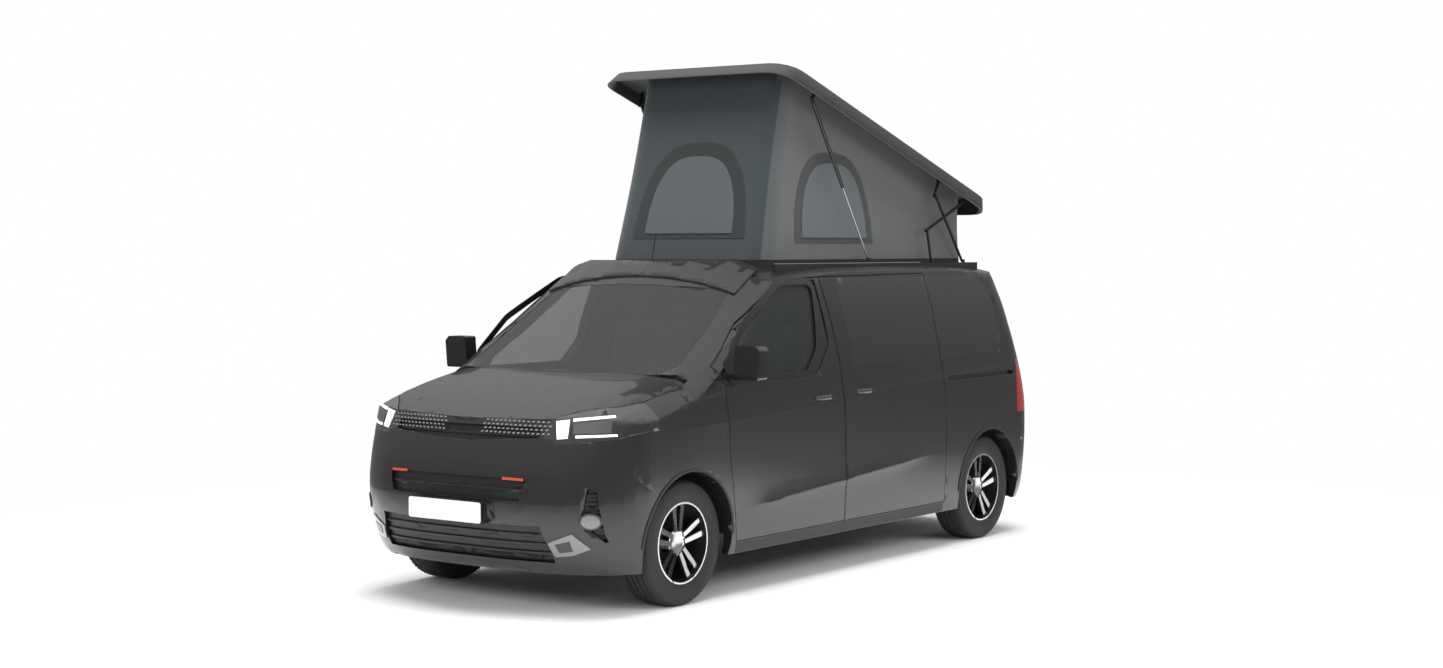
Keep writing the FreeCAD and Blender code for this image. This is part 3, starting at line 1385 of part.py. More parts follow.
# Floor, tank, exhaust, front frame and engine
def make_floor():
    reach = size.far_reach
    floor = box(-size.overrun, reach, size.firewall_y, size.floor_rear_y,
                size.floor_top_z - size.floor_sheet, size.floor_top_z)
    floor = floor.common(cabin_form(size.wall + size.fixed_gap))
    beam = box(size.beam_x, size.beam_x + size.beam_width, size.beam_front_y, size.beam_rear_y,
               size.floor_top_z - size.floor_sheet - size.beam_height, size.floor_top_z)
    wells = []
    for y in (size.front_axle_y, rear_axle_y()):
        wells.append(cross_bar(size.well_radius + size.liner_sheet + size.fixed_gap,
                                    size.well_depth_x - size.liner_sheet - size.fixed_gap,
                                    reach, y, size.wheel_radius))
    track = box(size.track_x, size.track_x + size.track_width, size.track_front_y,
                size.track_rear_y, size.floor_top_z, size.floor_top_z + size.track_height)
    keep("floor_pan", across_centre(floor.fuse([beam, track]).cut(wells)))
    tank_top = size.floor_top_z - size.floor_sheet - size.seat_gap
    tank = box(size.tank_x, size.tank_x + size.tank_width, size.tank_front_y, size.tank_rear_y,
               tank_top - size.tank_height, tank_top)
    pipe_start = size.engine_rear_y + size.gearbox_run + size.overrun
    centre = vector(size.exhaust_x, pipe_start, size.exhaust_z)
    pipe = many_sided(size.exhaust_radius, centre,
                      vector(0, size.exhaust_rear_y - pipe_start, 0))
    muffler = many_sided(size.muffler_radius,
                         vector(size.exhaust_x, size.muffler_y, size.exhaust_z),
                         vector(0, size.muffler_length, 0))
    half = size.hanger_width / 2
    hangers = [box(size.exhaust_x - half, size.exhaust_x + half, y - half, y + half,
                   size.exhaust_z, tank_top)
               for y in (size.beam_front_y, size.muffler_y + size.muffler_length / 2,
                         size.exhaust_rear_y - size.overrun)]
    exhaust = pipe.fuse([muffler] + hangers)
    keep("underframe", Part.makeCompound([tank, exhaust, front_frame()]))


def front_frame():
    beams = []
    front = size.radiator_y
    z = size.rail_beam_low_z
    rear = size.firewall_y - size.wall - size.seat_gap
    for side in (-1, 1):
        beams.append(side_box(side, size.rail_beam_x, size.rail_beam_x + size.rail_beam_width,
                              front, rear, z, z + size.rail_beam_height))
    crash = box(-size.crash_beam_half, size.crash_beam_half, front - size.crash_beam_depth,
                front, z, z + size.rail_beam_height)
    radiator = box(-size.rail_beam_x, size.rail_beam_x, front, front + size.radiator_depth,
                   size.radiator_low_z, size.radiator_top_z)
    return crash.fuse(beams + [radiator])


def make_engine():
    block = doc.addObject("Part::Box", "engine_block")
    bind(block, Length=bound.engine_half_width * 2,
         Width=bound.engine_rear_y - bound.engine_front_y,
         Height=bound.engine_top_z - bound.engine_low_z)
    place_at(block, -bound.engine_half_width, bound.engine_front_y, bound.engine_low_z)
    adopt(block)


# Cabin fittings: dashboard, steering wheel, seats, bench and rear shelf
def make_dashboard():
    outline = [(size.dash_front_y, size.dash_low_z), (size.dash_knee_y, size.dash_low_z),
               (size.dash_rear_y, size.dash_lip_z - size.overrun * 3),
               (size.dash_rear_y, size.dash_lip_z), (size.dash_crest_y, size.dash_top_z),
               (size.dash_front_y, size.dash_base_z)]
    body = prism(outline, "x", -size.body_half_width, size.body_half_width)
    inner = cabin_form(size.wall + size.fixed_gap)
    right = body.common(inner)
    dash = right.fuse(mirrored(right))
    tilt = math.radians(size.column_tilt)
    axis = vector(0, math.cos(tilt), math.sin(tilt))
    hub = vector(size.column_x, size.column_y, size.column_z) - axis * size.hub_cover_depth
    column = many_sided(size.column_radius, hub - axis * (size.column_length + size.seat_gap),
                        axis * size.column_length)
    keep("dashboard", dash.fuse(column))


def make_steering_wheel():
    discs = []
    for name, radius in (("steering_disc", bound.steering_radius + bound.steering_tube),
                         ("steering_hole", bound.steering_radius - bound.steering_tube)):
        disc = doc.addObject("Part::Prism", name)
        disc.Polygon = steering_sides
        bind(disc, Circumradius=radius, Height=bound.steering_tube * 2)
        disc.setExpression(".Placement.Base.z", (-bound.steering_tube).text)
        discs.append(disc)
    ring = doc.addObject("Part::Cut", "steering_ring")
    ring.Base, ring.Tool = discs
    cover = doc.addObject("Part::Cylinder", "steering_cover")
    bind(cover, Radius=bound.hub_cover_radius, Height=bound.hub_cover_depth)
    cover.setExpression(".Placement.Base.z", (-bound.hub_cover_depth).text)
    pieces = [ring, cover]
    for place, turn in enumerate((0, 180, 270)):
        spoke = doc.addObject("Part::Box", "steering_spoke_%d" % place)
        bind(spoke, Length=bound.steering_radius, Width=bound.spoke_tube * 2,
             Height=bound.spoke_tube)
        turned = FreeCAD.Rotation(vector(0, 0, 1), turn)
        shift = turned.multVec(vector(0, -size.spoke_tube, -size.spoke_tube))
        spoke.Placement = FreeCAD.Placement(shift, turned)
        pieces.append(spoke)
    wheel = joined_object("steering_wheel", pieces)
    lean = FreeCAD.Rotation(vector(1, 0, 0), size.column_tilt - 90)
    wheel.Placement = FreeCAD.Placement(vector(0, 0, 0), lean)
    place_at(wheel, bound.column_x, bound.column_y, bound.column_z)
    adopt(wheel)


def seat_solid(x, half_width, front_y, length, wells):
    top = size.seat_top_z
    low = top - size.pad_depth
    rear = front_y + length
    foot = box(x - half_width + size.seat_foot_inset, x + half_width - size.seat_foot_inset,
               front_y + size.seat_foot_inset, rear - size.seat_foot_inset,
               size.floor_top_z + size.seat_gap, low + size.seat_round)
    pad = prism([(front_y, low), (rear, low), (rear, top), (front_y, top)], "x",
                x - half_width, x + half_width, size.seat_round)
    back_top = top + size.back_height
    lean = size.back_lean
    depth = size.back_depth
    back = prism([(rear - depth, low), (rear, low), (rear + lean, back_top),
                  (rear + lean - depth, back_top)], "x", x - half_width, x + half_width,
                 size.seat_round)
    pieces = [foot, pad, back]
    count = max(1, round(half_width * 2 / size.seat_width))
    for place in range(count):
        middle = x + (place - (count - 1) / 2) * size.seat_width
        head = prism([(middle - size.head_width / 2, back_top - size.head_gap),
                      (middle + size.head_width / 2, back_top - size.head_gap),
                      (middle + size.head_width / 2, back_top + size.head_height),
                      (middle - size.head_width / 2, back_top + size.head_height)], "y",
                     rear + lean - depth, rear + lean, size.seat_round)
        pieces.append(head)
    return pieces[0].fuse(pieces[1:]).cut(wells)


def make_seats():
    half = size.seat_width / 2
    wells = []
    for side in (-1, 1):
        well = cross_bar(size.well_radius + size.liner_sheet + size.joint_play,
                              size.well_depth_x - size.liner_sheet - size.joint_play,
                              size.far_reach, rear_axle_y(), size.wheel_radius)
        wells.append(well if side > 0 else mirrored(well))
    seats = [seat_solid(side * size.seat_x, half, size.seat_front_y, size.seat_length, wells)
             for side in (-1, 1)]
    seats.append(seat_solid(0, size.bench_half_width, size.bench_front_y, size.bench_length,
                            wells))
    keep("seats", Part.makeCompound(seats))


def make_shelf():
    half = size.shelf_half_width
    top = size.shelf_top_z
    board = box(-half, half, size.shelf_front_y, size.shelf_rear_y, top - size.shelf_sheet, top)
    legs = []
    for side in (-1, 1):
        inner = size.well_depth_x - size.liner_sheet - size.overrun - size.shelf_sheet
        legs.append(side_box(side, inner, inner + size.shelf_sheet, size.shelf_front_y,
                             size.shelf_rear_y, size.floor_top_z + size.seat_gap, top))
    keep("rear_shelf", inside_cabin(board.fuse(legs)))


def inside_cabin(shape):
    half = cabin_form(size.wall + size.fixed_gap)
    return shape.common(half.fuse(mirrored(half)))


make_body_shell()
make_sides()
make_front_doors()
make_screen()
make_tailgate()
make_front_panels()
make_rear_panels()
make_fairing()
make_roof_rails()
make_lift()
make_lid()
make_canvas()
make_struts()
make_wheels()
make_knuckles()
make_suspension()
make_liners()
make_floor()
make_engine()
make_dashboard()
make_steering_wheel()
make_seats()
make_shelf()


# Everything is checked before anything is written
doc.recompute()
for item in doc.Objects:
    if "Invalid" in item.State or "Error" in item.State:
        raise RuntimeError("%s did not build: %s" % (item.Name, item.State))
for part in sub_parts:
    if part.Shape.isNull() or not part.Shape.isValid():
        raise RuntimeError("%s has no valid shape" % part.Label)
os.makedirs("parts", exist_ok=True)
for part in sub_parts:
    part.Shape.exportStep("parts/%s.step" % part.Label)
    print(part.Label, len(part.Shape.Solids), round(part.Shape.Volume / 1000))
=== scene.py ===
import json
import math

import bmesh
import bpy
import numpy as np
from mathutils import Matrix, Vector, geometry


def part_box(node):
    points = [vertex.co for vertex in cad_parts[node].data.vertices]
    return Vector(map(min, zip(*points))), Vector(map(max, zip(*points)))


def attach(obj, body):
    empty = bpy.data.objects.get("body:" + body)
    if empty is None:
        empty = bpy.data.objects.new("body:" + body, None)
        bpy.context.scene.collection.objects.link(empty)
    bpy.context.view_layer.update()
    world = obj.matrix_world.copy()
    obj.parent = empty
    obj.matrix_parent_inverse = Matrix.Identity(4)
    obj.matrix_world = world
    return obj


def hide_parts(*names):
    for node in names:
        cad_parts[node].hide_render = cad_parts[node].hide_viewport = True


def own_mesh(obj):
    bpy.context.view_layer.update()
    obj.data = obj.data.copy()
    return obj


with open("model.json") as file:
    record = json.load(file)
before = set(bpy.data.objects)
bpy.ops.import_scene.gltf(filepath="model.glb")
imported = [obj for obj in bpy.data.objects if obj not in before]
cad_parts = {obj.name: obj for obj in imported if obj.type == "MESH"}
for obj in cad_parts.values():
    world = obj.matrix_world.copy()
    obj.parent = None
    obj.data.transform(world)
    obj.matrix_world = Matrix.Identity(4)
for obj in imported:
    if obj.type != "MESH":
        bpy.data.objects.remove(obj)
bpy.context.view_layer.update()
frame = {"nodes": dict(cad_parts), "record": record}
record = frame["record"]
bodyOfNode = {node: body for body, members in record["behaviour"]["bodies"].items() for node in members}
slotOfNode = {part["node"]: part["material_slot"] for part in record["subparts"]}


# Body form: half width, nose and tail over the height, hood and roof along the van, in metres
form = {
    "levels": [.15, .30, .45, .60, .75, .90, 1.05, 1.20, 1.40, 1.60, 1.75, 1.85, 1.95],
    "halfWidth": [.900, .938, .950, .957, .959, .958, .951, .937, .905, .860, .812, .765, .700],
    "nose": [-2.20, -2.35, -2.42, -2.442, -2.418, -2.365, -2.300, -2.24, -2.15, -2.05, -1.98,
             -1.94, -1.90],
    "tail": [2.38, 2.445, 2.462, 2.472, 2.474, 2.466, 2.435, 2.390, 2.335, 2.28, 2.225, 2.18,
             2.12],
    "noseStart": -1.90, "tailRun": .38, "nosePower": 3.0, "tailPower": 3.2,
    "cornerTurns": [0, 10, 24, 40, 57, 74, 90],
    "hoodY": [-2.50, -2.40, -2.29, -2.10, -1.90, -1.60, -1.30],
    "hoodZ": [.940, .990, 1.032, 1.105, 1.170, 1.236, 1.28],
    "hoodDrop": [(.015, .9, 2), (.085, .9, 8)],  # fall towards the sides: depth, width, power
    "hoodEnd": -1.45, "hoodTop": 1.30,
    "roofY": [-1.75, -1.30, -1.0, -.9, -.8, -.7, -.5, -.2, .3, 1.0, 1.6, 2.2, 2.6],
    "roofZ": [1.295, 1.56, 1.70, 1.738, 1.765, 1.785, 1.812, 1.836, 1.850, 1.850, 1.840, 1.785,
              1.70],
    "roofDrop": [(.035, .8, 2), (.03, .8, 8)],
    "screenY": [-1.90, -1.565, -1.23, -.895, -.56],
    "screenLine": (-.873, 1.729, .69),  # a point of the middle line and its slope
    "screenBow": (.065, .18, -1.53), "screenDrop": [(.03, .8, 8)],
    "across": [-.27, 0, .27, .495, .648, .756, .855, .936, 1.008],
}

# How points of the solids go over to the smooth form
fitting = {"rounds": 12, "snap": .005, "topSnap": .0012, "fade": .06, "fadeHold": 1.15,
           "topReach": .03, "panelDepth": .2, "innerRatio": .5}

# Creases along the sides: height and slope, rise, fall below and above, and where they fade
crease = {
    "belt": {"z": 1.040, "slope": .045, "rise": .009, "below": .12, "above": .045,
             "from": -1.80, "fadeIn": .35, "to": 2.10, "fadeOut": .25},
    "door": {"z": .5535, "slope": .0723, "rise": .010, "below": .03, "above": .06,
             "from": -1.10, "fadeIn": .25, "to": .95, "fadeOut": .6},
    "steps": [-.03, -.012, 0, .012, .03],
}


# Smooth curve through the stations, by cubic pieces
def curve(xs, ys, at):
    xs, ys = np.array(xs), np.array(ys)
    slopes = np.gradient(ys, xs)
    at = np.clip(at, xs[0], xs[-1])
    k = np.clip(np.searchsorted(xs, at) - 1, 0, len(xs) - 2)
    run = xs[k + 1] - xs[k]
    t = (at - xs[k]) / run
    return ((2 * t**3 - 3 * t**2 + 1) * ys[k] + (t**3 - 2 * t**2 + t) * run * slopes[k]
            + (3 * t**2 - 2 * t**3) * ys[k + 1] + (t**3 - t**2) * run * slopes[k + 1])


# How far a point of the unit corner must be pushed out to lie on the smooth corner
def smoothRatio(x, y, power):
    r = np.ones_like(x)
    for _ in range(fitting["rounds"]):
        value = (r * x)**power + (r * y)**2 - 1
        slope = power * r**(power - 1) * x**power + 2 * r * y**2
        r = np.clip(r - value / np.maximum(slope, 1e-6), .2, 5)
    return r


# The same for the many-sided corner of the solids
def facetRatio(x, y, power):
    turns = np.radians(form["cornerTurns"])
    px, py = np.sin(turns)**(2 / power), np.cos(turns)
    k = np.clip(np.searchsorted(np.arctan2(px, py), np.arctan2(x, y)) - 1, 0, len(px) - 2)
    dx, dy = px[k + 1] - px[k], py[k + 1] - py[k]
    cross = x * dy - y * dx
    return (px[k] * dy - py[k] * dx) / np.where(abs(cross) < 1e-9, 1, cross)


# Lowers a height towards the sides
def dropped(z, x, drops):
    for depth, width, power in drops:
        z = z - depth * (x / width)**power
    return z


def hoodHeight(x, y):
    return dropped(curve(form["hoodY"], form["hoodZ"], y), x, form["hoodDrop"])


def roofHeight(x, y):
    return dropped(curve(form["roofY"], form["roofZ"], y), x, form["roofDrop"])


def screenHeight(x, y):
    lineY, lineZ, slope = form["screenLine"]
    bow, growth, bowY = form["screenBow"]
    middle = lineZ + slope * (y - lineY)
    return dropped(middle - (bow + growth * (y - bowY)) * x**2, x, form["screenDrop"])


# Height between the stations, as the solids have it
def facetHeight(height, stations, x, y):
    ax, ay = np.array(form["across"]), np.array(stations)
    i = np.clip(np.searchsorted(ax, x) - 1, 0, len(ax) - 2)
    j = np.clip(np.searchsorted(ay, y) - 1, 0, len(ay) - 2)
    s = (x - ax[i]) / (ax[i + 1] - ax[i])
    t = np.clip((y - ay[j]) / (ay[j + 1] - ay[j]), 0, 1)
    return ((height(ax[i], ay[j]) * (1 - s) + height(ax[i + 1], ay[j]) * s) * (1 - t)
            + (height(ax[i], ay[j + 1]) * (1 - s) + height(ax[i + 1], ay[j + 1]) * s) * t)


def creaseRise(line, y, z):
    along = (np.clip((y - line["from"]) / line["fadeIn"], 0, 1)
             * np.clip((line["to"] - y) / line["fadeOut"], 0, 1))
    under = line["z"] + line["slope"] * y - z
    falls = np.where(under > 0, np.exp(-under / line["below"]), np.exp(under / line["above"]))
    return along * line["rise"] * falls


# Moves points on the flat panels of the body out to its smooth surface
def smoothPoints(points, recess):
    p = points.copy()
    x, y, z = abs(p[:, 0]), p[:, 1], p[:, 2]
    side = np.where(p[:, 0] < 0, -1.0, 1.0)
    levels, start, tailRun = form["levels"], form["noseStart"], form["tailRun"]
    panel = fitting["panelDepth"]
    zc = np.clip(z, levels[0], levels[-1])
    wide, wideFlat = curve(levels, form["halfWidth"], zc), np.interp(zc, levels, form["halfWidth"])
    for edge in ("nose", "tail"):
        power = form[edge + "Power"]
        ends, endsFlat = curve(levels, form[edge], zc), np.interp(zc, levels, form[edge])
        if edge == "nose":
            run, runFlat, dy = start - ends, start - endsFlat, start - y
        else:
            run = runFlat = np.full(len(p), tailRun)
            dy = y - (endsFlat - tailRun)
        inside = dy > 0
        if not inside.any():
            continue
        ratio = facetRatio(x[inside] / wideFlat[inside], dy[inside] / runFlat[inside], power)
        target = smoothRatio(x[inside] / wide[inside], dy[inside] / run[inside], power)
        reach = np.hypot(x[inside], dy[inside])
        depth = (ratio - 1) * reach
        outer = abs(depth - recess) < fitting["snap"]
        factor = np.where(outer, (target * reach - recess) / np.maximum(reach, 1e-6), target / ratio)
        factor = np.where((depth > panel) | (ratio < fitting["innerRatio"]), 1, factor)
        x[inside] = x[inside] * factor
        if edge == "nose":
            y[inside] = start - dy[inside] * factor
        else:
            y[inside] = ends[inside] - tailRun + dy[inside] * factor
    for line in (crease["belt"], crease["door"]):
        x += creaseRise(line, y, z) * (x > wideFlat - panel)
    flat = (y >= start) & (y <= np.interp(zc, levels, form["tail"]) - tailRun)
    near = flat & (wideFlat - x < panel)
    x[near] += (wide - wideFlat)[near]
    hood = (y < form["hoodEnd"]) & (z < form["hoodTop"])
    screen = ~hood & (screenHeight(x, y) < roofHeight(x, y))
    changes = [(hood, hoodHeight, form["hoodY"]), (screen, screenHeight, form["screenY"]),
               (~hood & ~screen, roofHeight, form["roofY"])]
    for mask, height, stations in changes:
        if not mask.any():
            continue
        smooth = height(x[mask], y[mask])
        flatZ = facetHeight(height, stations, x[mask], y[mask])
        gap = abs(z[mask] - flatZ)
        shift = (smooth - flatZ) * np.clip(fitting["fadeHold"] - gap / fitting["fade"], 0, 1)
        shift = np.where(abs(smooth - flatZ) < fitting["topReach"], shift, 0)
        z[mask] = np.where(gap < fitting["topSnap"], smooth, z[mask] + shift)
    p[:, 0], p[:, 1], p[:, 2] = x * side, y, z
    return p


# Shader groups that several finishes share
def shaderGroup(name, inputs, outputs):
    group = bpy.data.node_groups.new(name, "ShaderNodeTree")
    for label, kind, value in inputs:
        socket = group.interface.new_socket(label, in_out="INPUT", socket_type="NodeSocket" + kind)
        socket.default_value = value
    for label, kind in outputs:
        group.interface.new_socket(label, in_out="OUTPUT", socket_type="NodeSocket" + kind)
    return group, group.nodes.new("NodeGroupInput"), group.nodes.new("NodeGroupOutput")


def mathNode(tree, operation, first, second):
    node = tree.nodes.new("ShaderNodeMath")
    node.operation = operation
    for place, value in enumerate((first, second)):
        if isinstance(value, (int, float)):
            node.inputs[place].default_value = value
        else:
            tree.links.new(value, node.inputs[place])
    return node.outputs[0]


# Noise in the object's own coordinates
def noiseNode(group, coords, scale, detail=2):
    noise = group.nodes.new("ShaderNodeTexNoise")
    noise.inputs["Detail"].default_value = detail
    group.links.new(coords.outputs["Object"], noise.inputs["Vector"])
    if isinstance(scale, (int, float)):
        noise.inputs["Scale"].default_value = scale
    else:
        group.links.new(scale, noise.inputs["Scale"])
    return noise.outputs["Fac"]


# Fine grain for the bump, and a roughness that drifts slowly over the surface
def makeGrainGroup():
    group, gIn, gOut = shaderGroup("fineGrain", [("Scale", "Float", 400.0), ("Roughness", "Float", .4),
                                                 ("Spread", "Float", .1)],
                                   [("Height", "Float"), ("Roughness", "Float")])
    coords = group.nodes.new("ShaderNodeTexCoord")
    fine = noiseNode(group, coords, gIn.outputs["Scale"], 3)
    broad = noiseNode(group, coords, 6)
    offset = mathNode(group, "MULTIPLY", mathNode(group, "SUBTRACT", broad, .5), gIn.outputs["Spread"])
    group.links.new(fine, gOut.inputs["Height"])
    group.links.new(mathNode(group, "ADD", gIn.outputs["Roughness"], offset), gOut.inputs["Roughness"])
    return group


# A colour that drifts towards a second one
def makeToneGroup():
    group, gIn, gOut = shaderGroup("toneDrift", [("Color", "Color", (1, 1, 1, 1)),
                                                 ("Second", "Color", (0, 0, 0, 1)),
                                                 ("Scale", "Float", 5.0), ("Amount", "Float", .3)],
                                   [("Color", "Color")])
    coords = group.nodes.new("ShaderNodeTexCoord")
    drift = noiseNode(group, coords, gIn.outputs["Scale"], 4)
    mix = group.nodes.new("ShaderNodeMix")
    mix.data_type = "RGBA"
    group.links.new(mathNode(group, "MULTIPLY", drift, gIn.outputs["Amount"]), mix.inputs[0])
    group.links.new(gIn.outputs["Color"], mix.inputs[6])
    group.links.new(gIn.outputs["Second"], mix.inputs[7])
    group.links.new(mix.outputs[2], gOut.inputs["Color"])
    return group


# Crossing threads of a cloth
def makeWeaveGroup():
    group, gIn, gOut = shaderGroup("weave", [("Threads", "Float", 300.0)], [("Height", "Float")])
    coords = group.nodes.new("ShaderNodeTexCoord")
    parts = group.nodes.new("ShaderNodeSeparateXYZ")
    group.links.new(coords.outputs["Object"], parts.inputs[0])
    along = mathNode(group, "ADD", parts.outputs[0], parts.outputs[1])
    waves = []
    for axis in (along, parts.outputs[2]):
        turns = mathNode(group, "MULTIPLY", axis, gIn.outputs["Threads"])
        waves.append(mathNode(group, "SINE", turns, 0))
    group.links.new(mathNode(group, "MULTIPLY", waves[0], waves[1]), gOut.inputs["Height"])
    return group


grainGroup, toneGroup, weaveGroup = makeGrainGroup(), makeToneGroup(), makeWeaveGroup()

surface = {"secondShade": .7, "ior": 1.5, "coatRoughness": .03, "bumpHeight": .0008, "sheen": .3,
           "edgeSamples": 4}


def groupNode(tree, group, values):
    node = tree.nodes.new("ShaderNodeGroup")
    node.node_tree = group
    for label, value in values.items():
        node.inputs[label].default_value = value
    return node


# One finish: drifting tone, grain in roughness and bump, softened edges, and a coat or weave
def finish(name, color, second=None, rough=.4, spread=.08, metal=0, coat=0, grain=400, depth=.1,
           drift=5, amount=.3, edge=.003, cloth=0, glow=0, glass=0):
    mat = bpy.data.materials.new(name)
    mat.use_nodes = True
    tree = mat.node_tree
    shader = tree.nodes["Principled BSDF"]
    second = second or [c * surface["secondShade"] for c in color]
    tone = groupNode(tree, toneGroup, {"Color": (*color, 1), "Second": (*second, 1), "Scale": drift,
                                       "Amount": amount})
    tree.links.new(tone.outputs["Color"], shader.inputs["Base Color"])
    grains = groupNode(tree, grainGroup, {"Scale": grain, "Roughness": rough, "Spread": spread})
    tree.links.new(grains.outputs["Roughness"], shader.inputs["Roughness"])
    shader.inputs["Metallic"].default_value = metal
    shader.inputs["IOR"].default_value = surface["ior"]
    shader.inputs["Coat Weight"].default_value = coat
    shader.inputs["Coat Roughness"].default_value = surface["coatRoughness"]
    bump = tree.nodes.new("ShaderNodeBump")
    bump.inputs["Strength"].default_value = depth
    bump.inputs["Distance"].default_value = surface["bumpHeight"]
    if cloth:
        woven = groupNode(tree, weaveGroup, {"Threads": cloth})
        tree.links.new(woven.outputs["Height"], bump.inputs["Height"])
        shader.inputs["Sheen Weight"].default_value = surface["sheen"]
    else:
        tree.links.new(grains.outputs["Height"], bump.inputs["Height"])
    if edge:
        soft = tree.nodes.new("ShaderNodeBevel")
        soft.samples = surface["edgeSamples"]
        soft.inputs["Radius"].default_value = edge
        tree.links.new(soft.outputs[0], bump.inputs["Normal"])
    tree.links.new(bump.outputs[0], shader.inputs["Normal"])
    if glow:
        tree.links.new(tone.outputs["Color"], shader.inputs["Emission Color"])
        shader.inputs["Emission Strength"].default_value = glow
    if glass:
        shader.inputs["Alpha"].default_value = 1 - glass
    return mat


paint = finish("darkMetallicPaint", (.032, .032, .034), (.024, .024, .026), rough=.36, spread=.05,
               metal=.6, coat=.7, grain=2500, depth=.05, drift=2, amount=.4)
grained = finish("grainedPlastic", (.022, .022, .023), rough=.55, grain=900, depth=.35)
blackGloss = finish("blackGloss", (.010, .010, .011), rough=.12, spread=.04, coat=.6, depth=.02)
blackMesh = finish("blackMeshPlastic", (.014, .014, .015), rough=.45, grain=700, depth=.2)
rubber = finish("tyreRubber", (.018, .018, .018), (.035, .034, .032), rough=.7, grain=600, depth=.3)
machined = finish("machinedAlloy", (.72, .73, .75), (.6, .61, .63), rough=.22, metal=1, grain=1500,
                  depth=.05)
darkAlloy = finish("darkAlloy", (.03, .03, .032), rough=.3, metal=.5, coat=.5)
steel = finish("coatedSteel", (.03, .03, .031), (.05, .045, .04), rough=.6, metal=.4, depth=.3)
iron = finish("castIron", (.09, .09, .095), (.05, .05, .05), rough=.65, metal=.6, grain=250, depth=.6)
anodised = finish("anodisedBars", (.035, .035, .037), rough=.35, metal=.8, depth=.1)
brightTrim = finish("brightTrim", (.62, .63, .64), rough=.25, metal=1, depth=.05)
roofBlack = finish("roofShell", (.020, .020, .022), rough=.42, coat=.3, grain=500, depth=.15)
canvasFront = finish("canvasCloth", (.038, .048, .052), (.028, .037, .041), rough=.85, cloth=2400,
                     depth=.5, drift=3, edge=0)
canvasSide = finish("canvasSideCloth", (.080, .085, .088), (.062, .067, .070), rough=.85, cloth=2400,
                    depth=.5, drift=3, edge=0)
netDark = finish("windowNet", (.017, .019, .020), rough=.8, cloth=3200, depth=.6, edge=0)
netLight = finish("windowCover", (.078, .086, .092), rough=.6, cloth=2600, depth=.3, edge=0)
seatCloth = finish("seatCloth", (.05, .052, .056), (.03, .03, .034), rough=.9, cloth=1800, depth=.6,
                   edge=0)
innerPlastic = finish("innerPlastic", (.035, .035, .037), rough=.6, grain=800, depth=.3)
floorCover = finish("floorCover", (.11, .085, .06), (.06, .045, .03), rough=.5, drift=14, amount=.7)
lampWhite = finish("lampWhite", (.95, .97, 1), rough=.2, glow=.9, edge=0)
lampGrey = finish("lampReflector", (.20, .21, .22), (.10, .105, .11), rough=.18, metal=.8, coat=1)
lampDark = finish("lampHousing", (.02, .021, .023), rough=.1, coat=1, depth=.02)
lampRed = finish("lampRed", (.35, .012, .01), (.2, .006, .006), rough=.12, coat=1)
accentRed = finish("accentRed", (.55, .07, .03), rough=.3, coat=.6)
handleTrim = finish("handleTrim", (.035, .035, .037), rough=.25, coat=.6, depth=.05)
plateWhite = finish("plateWhite", (.86, .86, .86), (.8, .8, .8), rough=.35, coat=.4)
clearGlass = finish("clearGlass", (.035, .039, .039), rough=.03, spread=.01, coat=.3, depth=0, edge=0,
                    glass=.55)
darkGlass = finish("privacyGlass", (.012, .013, .014), rough=.04, spread=.01, coat=1, depth=0, edge=0,
                   glass=.08)
print("finishes made:", len(bpy.data.materials))


def newPiece(name, mesh, body, material, slot, smooth):
    obj = bpy.data.objects.new(name, mesh)
    bpy.context.scene.collection.objects.link(obj)
    for entry in material if isinstance(material, list) else [material]:
        mesh.materials.append(entry)
    mesh.shade_smooth()
    if smooth:
        mesh.set_sharp_from_angle(angle=math.radians(smooth))
    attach(obj, body)
    return obj


grid = {"cell": .05, "offset": .0007, "weld": 1e-5, "smooth": 32}


def cutAlong(bm, spot, normal):
    bmesh.ops.bisect_plane(bm, geom=bm.verts[:] + bm.edges[:] + bm.faces[:], plane_co=spot,
                           plane_no=normal, dist=grid["weld"])


# The node's own panels, cut to a fine grid and pushed out to the smooth body
def skin(node, material, curved=True, recess=0, smooth=grid["smooth"], pick=None):
    bm = bmesh.new()
    bm.from_mesh(frame["nodes"][node].data)
    bmesh.ops.remove_doubles(bm, verts=bm.verts, dist=grid["weld"])
    if curved:
        cell = grid["cell"]
        low = np.min([v.co for v in bm.verts], axis=0)
        high = np.max([v.co for v in bm.verts], axis=0)
        for axis in range(3):
            for place in np.arange(math.ceil(low[axis] / cell) * cell, high[axis], cell):
                spot, normal = [0, 0, 0], [0, 0, 0]
                spot[axis], normal[axis] = place + grid["offset"], 1
                cutAlong(bm, spot, normal)
        for line in (crease["belt"], crease["door"]):
            for step in crease["steps"]:
                cutAlong(bm, (0, 0, line["z"] + step), (0, -line["slope"], 1))
    mesh = bpy.data.meshes.new("skin_" + node)
    bm.to_mesh(mesh)
    bm.free()
    mesh.materials.clear()
    if curved:
        spots = np.array([v.co for v in mesh.vertices])
        mesh.vertices.foreach_set("co", smoothPoints(spots, recess).astype(np.float32).ravel())
    mesh.update()
    obj = newPiece("skin_" + node, mesh, bodyOfNode[node], material, slotOfNode[node], smooth)
    if pick:
        for face in mesh.polygons:
            face.material_index = pick(face.center, face.normal)
    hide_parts(node)
    return obj


# A node whose shape is right gets its finish
def keepNode(node, material):
    mesh = frame["nodes"][node].data
    mesh.materials.clear()
    mesh.materials.append(material)


